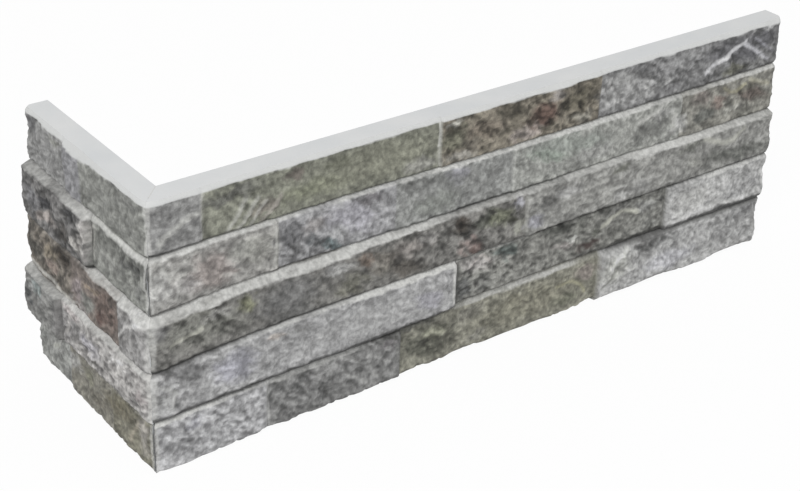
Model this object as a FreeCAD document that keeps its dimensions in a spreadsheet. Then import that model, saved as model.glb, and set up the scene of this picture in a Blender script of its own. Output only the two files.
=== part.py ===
import FreeCAD, Part
import Sketcher
import math
import os

# Corner piece of split-stone wall cladding, in millimetres.
# Two pressed stoneware leaves are cut at 45 degrees and bonded into an L.
# The rear faces lie in the planes y = 0 (long leaf) and x = 0 (short leaf), and the
# inner corner of the L stands on the origin. A leaf is laid out by its run, measured
# along it from the inner corner, its height, and its depth, measured out from the rear.

doc = FreeCAD.newDocument("cladding_corner")

# Driving dimensions: alias, value, meaning
SIZES = [
    ("long_leg", 424.0, "outer length of the long leg at the top course"),
    ("short_leg", 126.0, "outer length of the short leg at the top course"),
    ("course_height_1", 28.8, "height of the top course on the long leaf"),
    ("course_height_2", 28.4, "height of the second course"),
    ("course_height_3", 29.8, "height of the third course"),
    ("course_height_4", 31.0, "height of the fourth course"),
    ("course_height_5", 32.0, "height of the bottom course"),
    ("corner_drop_1", 0.4, "how much lower the first bed joint lies on the short leaf"),
    ("corner_drop_2", 3.1, "how much lower the second bed joint lies there"),
    ("corner_drop_3", 4.6, "how much lower the third bed joint lies there"),
    ("corner_drop_4", 2.1, "how much lower the fourth bed joint lies there"),
    ("drop_run", 30.0, "run over which the bed joints of the long leaf level out"),
    ("top_thickness", 14.0, "rear face to the stone faces of the top course"),
    ("stand_out_1", 0.0, "stand-out of the top course past the top thickness"),
    ("stand_out_2", 1.2, "stand-out of the second course"),
    ("stand_out_3", 3.4, "stand-out of the third course"),
    ("stand_out_4", 4.4, "stand-out of the fourth course"),
    ("stand_out_5", 2.8, "stand-out of the bottom course"),
    ("plate_thickness", 8.0, "plain pressed body behind the stone relief"),
    ("bond_gap", 0.5, "thickness of the adhesive in the mitre"),
    ("bond_setback", 0.4, "how far the adhesive stops behind the deepest joint"),
    ("joint_width", 1.8, "width of the pressed joints between stones"),
    ("joint_depth", 2.4, "depth of the pressed joints below the lower stone"),
    ("arris_height", 2.6, "height of the eased upper edge of a stone"),
    ("arris_fall", 1.5, "fall of the stone face at the top and foot of the panel"),
    ("corner_ease_1", 2.6, "how far the top course falls back at the outer corner"),
    ("corner_ease_2", 1.4, "how far the second course falls back there"),
    ("corner_ease_3", 2.6, "how far the third course falls back there"),
    ("corner_ease_4", 2.6, "how far the fourth course falls back there"),
    ("corner_ease_5", 0.5, "how far the bottom course falls back there"),
    ("corner_run", 9.0, "run of that fall at the outer corner"),
    ("end_round", 2.6, "rounding of the stones at the free ends"),
    ("cleft_height", 1.1, "height of the cleft ridges on the stone faces"),
    ("cleft_pitch", 17.0, "distance between cleft ridges"),
    ("chip_height", 0.7, "height of the chips on the stone faces"),
    ("facet_run", 8.5, "greatest length of one cleft facet along the leaf"),
    ("channel_pitch", 15.0, "pitch of the keying channels in the rear faces"),
    ("channel_width", 8.0, "width of a keying channel"),
    ("channel_depth", 0.6, "depth of a keying channel"),
]

# Stones of each course from the corner outwards, top course first: name, run of the
# joint at its far end (None for the last stone, which ends with the leaf), and its
# own stand-out past that of the course
LONG_STONES = [
    [("a", 15.5, 0.0), ("b", 157.0, -0.5), ("c", 266.0, 0.8), ("d", None, 0.2)],
    [("a", 57.5, 0.0), ("b", 128.5, -0.6), ("c", 206.0, -0.2), ("d", 331.0, 0.6), ("e", None, -0.2)],
    [("a", 216.0, 0.0), ("b", None, 1.2)],
    [("a", 169.5, 0.0), ("b", 326.0, -2.8), ("c", None, 0.2)],
    [("a", 49.5, 0.0), ("b", 134.0, -0.8), ("c", 277.5, -2.8), ("d", None, 0.8)],
]
SHORT_STONES = [
    [("a", 51.0, 0.0), ("b", 68.0, 0.3), ("c", None, -0.4)],
    [("a", 42.0, -0.8), ("b", None, 3.2)],
    [("a", 13.0, 0.4), ("b", 62.0, -0.6), ("c", None, 0.0)],
    [("a", 75.0, 0.0), ("b", None, 3.2)],
    [("a", 25.0, 0.0), ("b", 72.0, -0.3), ("c", None, -1.2)],
]
COURSES = len(LONG_STONES)

# Waves of the bed joints, top joint first, as (run, rise) at each bend
LONG_WAVES = [
    [(0, 0.0), (30, 0.4), (110, 0.4), (281, -0.4), (350, -0.6), (410, 0.0)],
    [(0, 0.0), (50, 1.0), (80, 1.0), (110, 0.2), (210, -0.2), (300, 0.8), (345, -1.2), (410, -1.0)],
    [(0, 0.0), (50, 0.4), (110, 0.4), (410, 0.0)],
    [(0, 0.0), (80, -0.6), (160, -0.6), (178, 2.0), (275, 2.0), (340, 1.6), (410, 0.6)],
]
SHORT_WAVES = [
    [(0, 0.0)],
    [(98, 0.0), (112, 1.5)],
    [(98, 0.0), (112, 3.0)],
    [(0, 0.0)],
]


def stone_rows():
    """Sheet rows for the joints and stand-outs of the stones of both leaves."""
    rows = []
    for leaf, courses in (("long", LONG_STONES), ("short", SHORT_STONES)):
        for course, stones in enumerate(courses, start=1):
            for name, joint, out in stones:
                stone = f"{leaf}_course{course}_stone_{name}"
                if joint is not None:
                    rows.append((f"{stone}_joint", joint, "run of the joint at its far end"))
                rows.append((f"{stone}_out", out, "its own stand-out"))
    return rows


def wave_rows():
    """Sheet rows for the bends in the bed joints of both leaves."""
    rows = []
    for leaf, waves in (("long", LONG_WAVES), ("short", SHORT_WAVES)):
        for joint, bends in enumerate(waves, start=1):
            for place, (run, rise) in enumerate(bends, start=1):
                bend = f"{leaf}_bed{joint}_bend{place}"
                rows.append((f"{bend}_run", float(run), "run of a bend in the bed joint"))
                rows.append((f"{bend}_rise", rise, "rise of the bed joint at the bend"))
    return rows


sheet = doc.addObject("Spreadsheet::Sheet", "Sizes")
for row, (alias, value, meaning) in enumerate(SIZES + stone_rows() + wave_rows(), start=1):
    sheet.set(f"A{row}", alias)
    sheet.set(f"B{row}", str(value))
    sheet.set(f"C{row}", meaning)
    sheet.setAlias(f"B{row}", alias)
doc.recompute()


def size(alias):
    """Value of one driving dimension."""
    return float(sheet.get(alias))


HEIGHT = sum(size(f"course_height_{course}") for course in range(1, COURSES + 1))
HEIGHT_FORMULA = " + ".join(f"Sizes.course_height_{course}" for course in range(1, COURSES + 1))
LENGTH_FORMULAS = {
    "long": "Sizes.long_leg - Sizes.top_thickness",
    "short": "Sizes.short_leg - Sizes.top_thickness",
}
# Shift along the run that sets each mitre face half a bond back from the 45 degree plane
MITRE_SHIFT = size("bond_gap") / math.sqrt(2)
MITRE_FORMULA = "Sizes.bond_gap / sqrt(2)"
# Heights of the cleft nodes between the foot and the eased edge of a stone, as shares
CLEFT_ROWS = (0.28, 0.52, 0.76)


def scatter(*keys):
    """Repeatable scatter in -1..1 worked out from a few whole numbers."""
    wave = 43758.5453 * math.sin(4.1 + sum(37.719 * (place + 1) * key for place, key in enumerate(keys)))
    return 2.0 * (wave - math.floor(wave)) - 1.0


def fold(value):
    """Triangle wave in -1..1 with a period of one: straight slopes and sharp crests."""
    return 4.0 * abs(value - math.floor(value + 0.5)) - 1.0


def patches(across, up, *keys):
    """Uneven ground in -1..1: scatter on a square lattice, blended between its points."""
    column, row = math.floor(across), math.floor(up)
    right, top = across - column, up - row
    low = (1 - right) * scatter(column, row, *keys) + right * scatter(column + 1, row, *keys)
    high = (1 - right) * scatter(column, row + 1, *keys) + right * scatter(column + 1, row + 1, *keys)
    return (1 - top) * low + top * high


# Layout and relief of one leaf

class Leaf:
    """One leaf of the corner: its stones, bed joints and the nodes of its cleft face."""

    def __init__(self, name, number, courses, waves):
        self.name = name
        self.number = number
        self.bends = [self.joint_bends(joint, bends) for joint, bends in enumerate(waves, 1)]
        self.length = size(f"{name}_leg") - size("top_thickness")
        self.stones = [self.course_stones(course, stones) for course, stones in enumerate(courses, 1)]
        self.runs = self.column_runs()
        self.rows = self.grid_rows()

    def course_stones(self, course, stones):
        """The stones that fit within the leaf, each as (run of its far end, stand-out)."""
        fitting = []
        start = -math.inf
        for name, joint, _ in stones:
            stone = f"{self.name}_course{course}_stone_{name}"
            end = self.length if joint is None else size(f"{stone}_joint")
            if start < self.length - size("end_round") and end > start + size("joint_width"):
                fitting.append((end, size(f"{stone}_out")))
                start = end
        fitting[-1] = (self.length, fitting[-1][1])
        return fitting

    def joint_bends(self, joint, bends):
        """The bends of a bed joint, each as (run, rise)."""
        names = [f"{self.name}_bed{joint}_bend{place}" for place in range(1, len(bends) + 1)]
        return [(size(f"{name}_run"), size(f"{name}_rise")) for name in names]

    def wave(self, course, run):
        """Rise of the bed joint under a course at a run: straight between its bends and
        level before the first and past the last."""
        bends = self.bends[course]
        if run <= bends[0][0]:
            return bends[0][1]
        for (start, low), (end, high) in zip(bends, bends[1:]):
            if run <= end:
                return low + (high - low) * (run - start) / (end - start)
        return bends[-1][1]

    def joints(self, course):
        """Runs of the upright joints inside one course."""
        return [end for end, _ in self.stones[course][:-1]]

    def stone_at(self, course, run):
        """Number and stand-out of the stone at a run."""
        stones = self.stones[course]
        number = next((place for place, stone in enumerate(stones) if run <= stone[0]), len(stones) - 1)
        return number, stones[number][1]

    def column_runs(self):
        """Runs of the grid columns past the mitre: both edges and the middle of each
        upright joint, the rounding of the free end, and as many steps in between as
        the longest facet asks for."""
        half = size("joint_width") / 2
        rounding = size("end_round")
        fixed = {self.length, self.length - 0.3 * rounding, self.length - rounding}
        for course in range(COURSES):
            for joint in self.joints(course):
                fixed.update((joint - half, joint, joint + half))
        runs = [-size("plate_thickness")]
        for run in sorted(fixed):
            gap = run - runs[-1]
            steps = math.ceil(gap / size("facet_run"))
            start = runs[-1]
            runs.extend(start + gap * step / steps for step in range(1, steps + 1))
        return runs

    def grid_rows(self):
        """Rows of grid nodes from the foot of the panel up, as (course, place, share):
        the bed joint, the foot of the stones, their cleft face and their eased edge."""
        rows = []
        for course in reversed(range(COURSES)):
            rows.append((course, "bed", 0.0))
            rows.append((course, "face", 0.0))
            rows.extend((course, "face", share) for share in CLEFT_ROWS)
            rows.append((course, "face", 1.0))
        rows.append((0, "head", 0.0))
        return rows

    def bed_height(self, course, run):
        """Height of the bed joint under a course, with its wave. The joints of the short
        leaf lie lower, and those of the long leaf run down to meet them at the corner."""
        if course == COURSES - 1:
            return 0.0
        if course < 0:
            return HEIGHT
        level = sum(size(f"course_height_{lower}") for lower in range(course + 2, COURSES + 1))
        drop = size(f"corner_drop_{course + 1}")
        if self.name == "long":
            drop *= math.exp(-max(0.0, run + size("top_thickness")) / size("drop_run"))
        return level - drop + self.wave(course, run)

    def plain_depth(self, course, run):
        """Depth of a stone face without its cleft: that of its course and its own
        stand-out, which fades out at the corner so that both leaves meet there, less a
        parabolic fall at the outer corner and a quarter round at the free end."""
        depth = size("top_thickness") + size(f"stand_out_{course + 1}")
        nearness = min(1.0, max(0.0, 1.0 - (run + depth) / size("corner_run")))
        depth += (1.0 - nearness) * self.stone_at(course, run)[1]
        rounding = size("end_round")
        reach = min(rounding, max(0.0, run - self.length + rounding))
        ease = size(f"corner_ease_{course + 1}") * nearness ** 2
        return depth - ease - rounding + math.sqrt(rounding ** 2 - reach ** 2)

    def cleft(self, course, run, height):
        """Cleft relief of a stone: a slanting fold wave and a flatter one, with a slant
        and a phase that belong to the stone, over uneven chipped ground."""
        stone = (self.number, course, self.stone_at(course, run)[0])
        slant = math.radians(52 + 16 * scatter(*stone, 1))
        across = run * math.sin(slant) + height * math.cos(slant)
        ridges = fold(across / size("cleft_pitch") + scatter(*stone, 2))
        benches = fold((0.35 * run - height) / (1.7 * size("cleft_pitch")) + scatter(*stone, 3))
        chips = patches(run / size("facet_run"), height / size("facet_run"), *stone)
        return size("cleft_height") * (0.6 * ridges + 0.4 * benches) + size("chip_height") * chips

    def node_height(self, row, run):
        """Height of a grid node at a run."""
        course, place, share = row
        if place == "head":
            return HEIGHT
        foot = self.bed_height(course, run)
        if place == "bed":
            return foot
        half = size("joint_width") / 2
        edge = self.bed_height(course - 1, run) - size("arris_height")
        return foot + half + share * (edge - foot - half)

    def node_depth(self, row, run):
        """Depth of a grid node: the cleft stone face, the bottom of the bed joint below
        the stones on both its sides, or the bottom of an upright joint."""
        course, place, _ = row
        depth = self.plain_depth(course, run)
        if place == "head" or (place == "bed" and course == COURSES - 1):
            return depth - size("arris_fall")
        if place == "bed":
            return min(depth, self.plain_depth(course + 1, run)) - size("joint_depth")
        if run in self.joints(course):
            beyond = self.plain_depth(course, run + size("joint_width"))
            return min(depth, beyond) - size("joint_depth") / 2
        return depth + self.cleft(course, run, self.node_height(row, run))

    def front_nodes(self):
        """Grid nodes of the front as rows of (run, height, depth). The first node of
        each row lies on the mitre face, where run and depth are bound together."""
        grid = []
        for row in self.rows:
            corner = -size("top_thickness") - size(f"stand_out_{row[0] + 1}")
            depth = self.plain_depth(row[0], corner)
            if row[1] != "face":
                depth = self.node_depth(row, corner)
            nodes = [(MITRE_SHIFT - depth, self.node_height(row, -depth), depth)]
            nodes.extend((run, self.node_height(row, run), self.node_depth(row, run)) for run in self.runs)
            grid.append(nodes)
        return grid

    def point(self, run, height, depth):
        """Point of the part at a run, height and depth of this leaf."""
        if self.name == "long":
            return FreeCAD.Vector(run, -depth, height)
        return FreeCAD.Vector(-depth, run, height)


def flat_face(points):
    """Plane face inside a closed outline."""
    return Part.Face(Part.makePolygon(points + points[:1]))


def relief_solid(leaf):
    """Stone relief of a leaf: two plane facets over each cell of the grid, closed by
    the level top and foot, the free end, the mitre and the back on the plate."""
    grid = [[leaf.point(*node) for node in row] for row in leaf.front_nodes()]
    faces = []
    for row in range(len(grid) - 1):
        for column in range(len(grid[row]) - 1):
            low, next_low = grid[row][column], grid[row][column + 1]
            high, next_high = grid[row + 1][column], grid[row + 1][column + 1]
            if scatter(leaf.number, row, column) > 0:
                faces.append(flat_face([low, next_low, next_high]))
                faces.append(flat_face([low, next_high, high]))
            else:
                faces.append(flat_face([low, next_low, high]))
                faces.append(flat_face([next_low, next_high, high]))
    back = size("plate_thickness")
    inner_foot = leaf.point(MITRE_SHIFT - back, 0.0, back)
    inner_head = leaf.point(MITRE_SHIFT - back, HEIGHT, back)
    end_foot = leaf.point(leaf.length, 0.0, back)
    end_head = leaf.point(leaf.length, HEIGHT, back)
    faces.append(flat_face(grid[0] + [end_foot, inner_foot]))
    faces.append(flat_face(grid[-1] + [end_head, inner_head]))
    faces.append(flat_face([row[0] for row in grid] + [inner_head, inner_foot]))
    faces.append(flat_face([row[-1] for row in grid] + [end_head, end_foot]))
    faces.append(flat_face([inner_foot, end_foot, end_head, inner_head]))
    skin = Part.makeShell(faces)
    skin.sewShape()
    solid = Part.makeSolid(skin)
    if solid.Volume < 0:
        solid.reverse()
    return solid


# Pressed plates behind the relief, with the keying channels of their rear faces

def origin_plane(body, role):
    """Origin plane of a body, found by its role."""
    return next(plane for plane in body.Origin.OriginFeatures if plane.Role == role)


def new_sketch(body, name, role):
    """Empty sketch on an origin plane of a body."""
    sketch = body.newObject("Sketcher::SketchObject", name)
    sketch.AttachmentSupport = [(origin_plane(body, role), "")]
    sketch.MapMode = "FlatFace"
    return sketch


def add_outline(sketch, corners):
    """Closed outline of straight lines through the corners; line n starts at corner n."""
    lines = []
    for start, end in zip(corners, corners[1:] + corners[:1]):
        lines.append(sketch.addGeometry(Part.LineSegment(start, end), False))
    for line, following in zip(lines, lines[1:] + lines[:1]):
        sketch.addConstraint(Sketcher.Constraint("Coincident", line, 2, following, 1))
    return lines


def bind_corner(sketch, line, name, across, up):
    """Binds the start of a line to distances from the sketch origin, each given as a
    (sign, formula) of the sheet; a formula of None puts it on that axis."""
    axes = (("DistanceX", "across", across, -2), ("DistanceY", "up", up, -1))
    for kind, direction, (sign, formula), axis in axes:
        if formula is None:
            sketch.addConstraint(Sketcher.Constraint("PointOnObject", line, 1, axis))
            continue
        ends = (-1, 1, line, 1) if sign > 0 else (line, 1, -1, 1)
        reach = abs(getattr(sketch.getPoint(line, 1), "x" if kind == "DistanceX" else "y"))
        number = sketch.addConstraint(Sketcher.Constraint(kind, *ends, reach))
        sketch.renameConstraint(number, f"{name}_{direction}")
        sketch.setExpression(f"Constraints.{name}_{direction}", formula)


def pad(body, sketch, name, formula):
    """Pads a sketch upwards to a length bound to the sheet."""
    feature = body.newObject("PartDesign::Pad", name)
    feature.Profile = sketch
    feature.setExpression("Length", formula)
    sketch.Visibility = False
    doc.recompute()
    return feature


def plate_body(leaf):
    """Plain plate of a leaf: its plan with the mitred end padded to the panel height,
    and the keying channels pocketed into the rear face as a linear pattern."""
    body = doc.addObject("PartDesign::Body", f"{leaf.name}_plate")
    length = (1, LENGTH_FORMULAS[leaf.name])
    rear = (1, None)
    front = (-1, "Sizes.plate_thickness")
    inner = (1, MITRE_FORMULA)
    back = size("plate_thickness")
    outer = (-1, f"Sizes.plate_thickness - {MITRE_FORMULA}")
    plan = [
        ("inner", inner, rear, leaf.point(MITRE_SHIFT, 0, 0)),
        ("end_rear", length, rear, leaf.point(leaf.length, 0, 0)),
        ("end_front", length, front, leaf.point(leaf.length, 0, back)),
        ("mitre_front", outer, front, leaf.point(MITRE_SHIFT - back, 0, back)),
    ]
    sketch = new_sketch(body, f"{leaf.name}_plan", "XY_Plane")
    lines = add_outline(sketch, [corner for _, _, _, corner in plan])
    for line, (name, run, depth, _) in zip(lines, plan):
        across, up = (run, depth) if leaf.name == "long" else (depth, run)
        bind_corner(sketch, line, name, across, up)
    pad(body, sketch, f"{leaf.name}_pad", HEIGHT_FORMULA)

    # The first channel, centred half a pitch above the foot and run out past both ends
    clear = size("plate_thickness")
    low = (size("channel_pitch") - size("channel_width")) / 2
    high = low + size("channel_width")
    low_formula = "(Sizes.channel_pitch - Sizes.channel_width) / 2"
    high_formula = "(Sizes.channel_pitch + Sizes.channel_width) / 2"
    before = (-1, "Sizes.plate_thickness")
    after = (1, f"{LENGTH_FORMULAS[leaf.name]} + Sizes.plate_thickness")
    outline = [
        ("foot_inner", before, (1, low_formula), FreeCAD.Vector(-clear, low, 0)),
        ("foot_end", after, (1, low_formula), FreeCAD.Vector(leaf.length + clear, low, 0)),
        ("head_end", after, (1, high_formula), FreeCAD.Vector(leaf.length + clear, high, 0)),
        ("head_inner", before, (1, high_formula), FreeCAD.Vector(-clear, high, 0)),
    ]
    rear_plane = "XZ_Plane" if leaf.name == "long" else "YZ_Plane"
    sketch = new_sketch(body, f"{leaf.name}_channel_outline", rear_plane)
    lines = add_outline(sketch, [corner for _, _, _, corner in outline])
    for line, (name, across, up, _) in zip(lines, outline):
        bind_corner(sketch, line, name, across, up)
    channel = body.newObject("PartDesign::Pocket", f"{leaf.name}_channel")
    channel.Profile = sketch
    channel.setExpression("Length", "Sizes.channel_depth")
    channel.Reversed = leaf.name == "long"
    sketch.Visibility = False
    doc.recompute()
    channels = body.newObject("PartDesign::LinearPattern", f"{leaf.name}_channels")
    channels.Originals = [channel]
    channels.Direction = (sketch, ["V_Axis"])
    channels.setExpression("Occurrences", f"floor(({HEIGHT_FORMULA}) / Sizes.channel_pitch)")
    channels.setExpression(
        "Length", f"(floor(({HEIGHT_FORMULA}) / Sizes.channel_pitch) - 1) * Sizes.channel_pitch")
    body.Tip = channels
    doc.recompute()
    return body


def leaf_part(leaf):
    """A whole leaf: its plate fused with its stone relief."""
    relief = doc.addObject("Part::Feature", f"{leaf.name}_relief")
    relief.Shape = relief_solid(leaf)
    part = doc.addObject("Part::Fuse", f"{leaf.name}_leaf")
    part.Label = f"{leaf.name}_leaf"
    part.Base = plate_body(leaf)
    part.Tool = relief
    part.Placement = FreeCAD.Placement()
    return part


def adhesive_part():
    """Adhesive in the mitre: a thin sheet in the 45 degree plane between the leaves,
    flush with both rear faces and set back behind the deepest joint at the arris."""
    body = doc.addObject("PartDesign::Body", "mitre_adhesive")
    body.Label = "mitre_adhesive"
    half = MITRE_SHIFT / 2
    half_formula = f"{MITRE_FORMULA} / 2"
    reach = size("top_thickness") - size("corner_ease_1") - size("joint_depth") - size("bond_setback")
    reach_formula = "Sizes.top_thickness - Sizes.corner_ease_1 - Sizes.joint_depth - Sizes.bond_setback"
    far = (-1, f"{reach_formula} + {half_formula}")
    near = (-1, f"{reach_formula} - {half_formula}")
    plan = [
        ("inner", (1, None), (1, None), FreeCAD.Vector(0, 0, 0)),
        ("short_rear", (1, None), (1, MITRE_FORMULA), FreeCAD.Vector(0, MITRE_SHIFT, 0)),
        ("short_front", far, near, FreeCAD.Vector(-reach - half, -reach + half, 0)),
        ("long_front", near, far, FreeCAD.Vector(-reach + half, -reach - half, 0)),
        ("long_rear", (1, MITRE_FORMULA), (1, None), FreeCAD.Vector(MITRE_SHIFT, 0, 0)),
    ]
    sketch = new_sketch(body, "adhesive_plan", "XY_Plane")
    lines = add_outline(sketch, [corner for _, _, _, corner in plan])
    for line, (name, across, up, _) in zip(lines, plan):
        bind_corner(sketch, line, name, across, up)
    pad(body, sketch, "adhesive_pad", HEIGHT_FORMULA)
    return body


long_leaf = Leaf("long", 1, LONG_STONES, LONG_WAVES)
short_leaf = Leaf("short", 2, SHORT_STONES, SHORT_WAVES)
parts = [leaf_part(long_leaf), leaf_part(short_leaf), adhesive_part()]
doc.recompute()

for item in doc.Objects:
    if "Invalid" in item.State or "Error" in item.State:
        raise RuntimeError(f"{item.Label} did not compute: {item.State}")
for item in parts:
    if item.Shape.isNull() or not item.Shape.isValid():
        raise RuntimeError(f"{item.Label} has no sound shape")

os.makedirs("parts", exist_ok=True)
for item in parts:
    item.Shape.exportStep(f"parts/{item.Label}.step")
    box = item.Shape.BoundBox
    print(
        item.Label, f"solids {len(item.Shape.Solids)} faces {len(item.Shape.Faces)}",
        f"volume {item.Shape.Volume:.0f} mm3",
        f"x {box.XMin:.2f}..{box.XMax:.2f} y {box.YMin:.2f}..{box.YMax:.2f} z {box.ZMin:.2f}..{box.ZMax:.2f}")
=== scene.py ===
import math
from types import SimpleNamespace

import bpy
import numpy as np
from mathutils import Matrix, Vector


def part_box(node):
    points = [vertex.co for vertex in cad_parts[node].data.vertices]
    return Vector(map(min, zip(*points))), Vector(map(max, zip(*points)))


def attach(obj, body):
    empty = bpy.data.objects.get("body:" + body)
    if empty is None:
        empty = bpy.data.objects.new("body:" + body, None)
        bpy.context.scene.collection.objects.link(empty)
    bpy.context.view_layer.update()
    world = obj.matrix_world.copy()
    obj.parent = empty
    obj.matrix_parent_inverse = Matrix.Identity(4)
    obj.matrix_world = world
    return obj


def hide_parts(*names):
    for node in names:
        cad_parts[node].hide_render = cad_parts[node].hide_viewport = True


# Looks of a stone cladding corner piece: two pressed stoneware leaves with a printed
# split-stone face, mitred and bonded at the outer arris. Lengths are in millimetres up
# to the point where a mesh is made, and a leaf is laid out as in the CAD model: by its
# run along the leaf from the inner corner, its height, and its depth out from the rear.

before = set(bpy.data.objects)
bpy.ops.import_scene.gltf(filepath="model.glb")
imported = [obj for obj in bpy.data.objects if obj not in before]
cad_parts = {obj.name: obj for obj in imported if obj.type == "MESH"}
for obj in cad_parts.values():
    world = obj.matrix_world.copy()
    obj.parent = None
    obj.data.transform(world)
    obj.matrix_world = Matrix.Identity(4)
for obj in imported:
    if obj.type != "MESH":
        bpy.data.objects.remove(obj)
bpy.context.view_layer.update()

METRE = 0.001

# Sizes of the leaves, the same as in the CAD model
LEG_RUNS = {"long": 410.0, "short": 112.0}
COURSE_HEIGHTS = (28.8, 28.4, 29.8, 31.0, 32.0)
COURSE_DEPTHS = (14.0, 15.2, 17.4, 18.4, 16.8)
CORNER_DROPS = (0.4, 3.1, 4.6, 2.1)
DROP_RUN = 30.0
TOP_THICKNESS = 14.0
PLATE_THICKNESS = 8.0
MITRE_SHIFT = 0.5 / math.sqrt(2)
BOND_DEPTH = 8.8
FRONT_SHIFTS = (0.03, 0.34, 0.03, 0.03, 0.34)
JOINT_WIDTH = 1.8
JOINT_DEPTH = 2.4
ARRIS_FALL = 1.5
CORNER_EASES = (2.6, 1.4, 2.6, 2.6, 0.5)
CORNER_RUN = 9.0
END_ROUND = 2.6
CLEFT_HEIGHT = 1.1
CLEFT_PITCH = 17.0
CHIP_HEIGHT = 0.7
CHIP_RUN = 8.5
CHANNEL_PITCH = 15.0
CHANNEL_WIDTH = 8.0
CHANNEL_DEPTH = 0.6
HEIGHT = sum(COURSE_HEIGHTS)
COURSES = len(COURSE_HEIGHTS)

# Stones of each course from the corner outwards, top course first: run of the far end
# (None for the last stone), own stand-out, print colour, and how strongly it is mottled
STONES = {
    "long": [
        [(15.5, 0.0, "#828281", 0.8), (157.0, -0.5, "#74756B", 0.8), (266.0, 0.8, "#706B61", 1.4),
         (None, 0.2, "#757575", 1.1)],
        [(57.5, 0.0, "#8D8C89", 0.9), (128.5, -0.6, "#8A8A8B", 1.0), (206.0, -0.2, "#818280", 0.8),
         (331.0, 0.6, "#8F908C", 0.8), (None, -0.2, "#7B7A74", 1.0)],
        [(216.0, 0.0, "#6B6A67", 1.1), (None, 1.2, "#838380", 0.9)],
        [(169.5, 0.0, "#959595", 0.7), (326.0, -2.8, "#767672", 1.3), (None, 0.2, "#A1A1A0", 0.8)],
        [(49.5, 0.0, "#9D9D9E", 1.1), (134.0, -0.8, "#767675", 1.1), (277.5, -2.8, "#7C7B71", 0.9),
         (None, 0.8, "#9C9C9B", 0.9)],
    ],
    "short": [
        [(51.0, 0.0, "#7F807C", 0.8), (68.0, 0.3, "#808082", 0.6), (None, -0.4, "#838382", 0.9)],
        [(42.0, -0.8, "#767773", 1.0), (None, 3.2, "#636261", 1.4)],
        [(13.0, 0.4, "#898887", 1.1), (62.0, -0.6, "#6A635E", 1.0), (None, 0.0, "#6B665F", 1.3)],
        [(75.0, 0.0, "#949290", 1.3), (None, 3.2, "#747472", 1.0)],
        [(25.0, 0.0, "#716F64", 0.9), (72.0, -0.3, "#7A7870", 0.8), (None, -1.2, "#868784", 0.9)],
    ],
}

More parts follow.
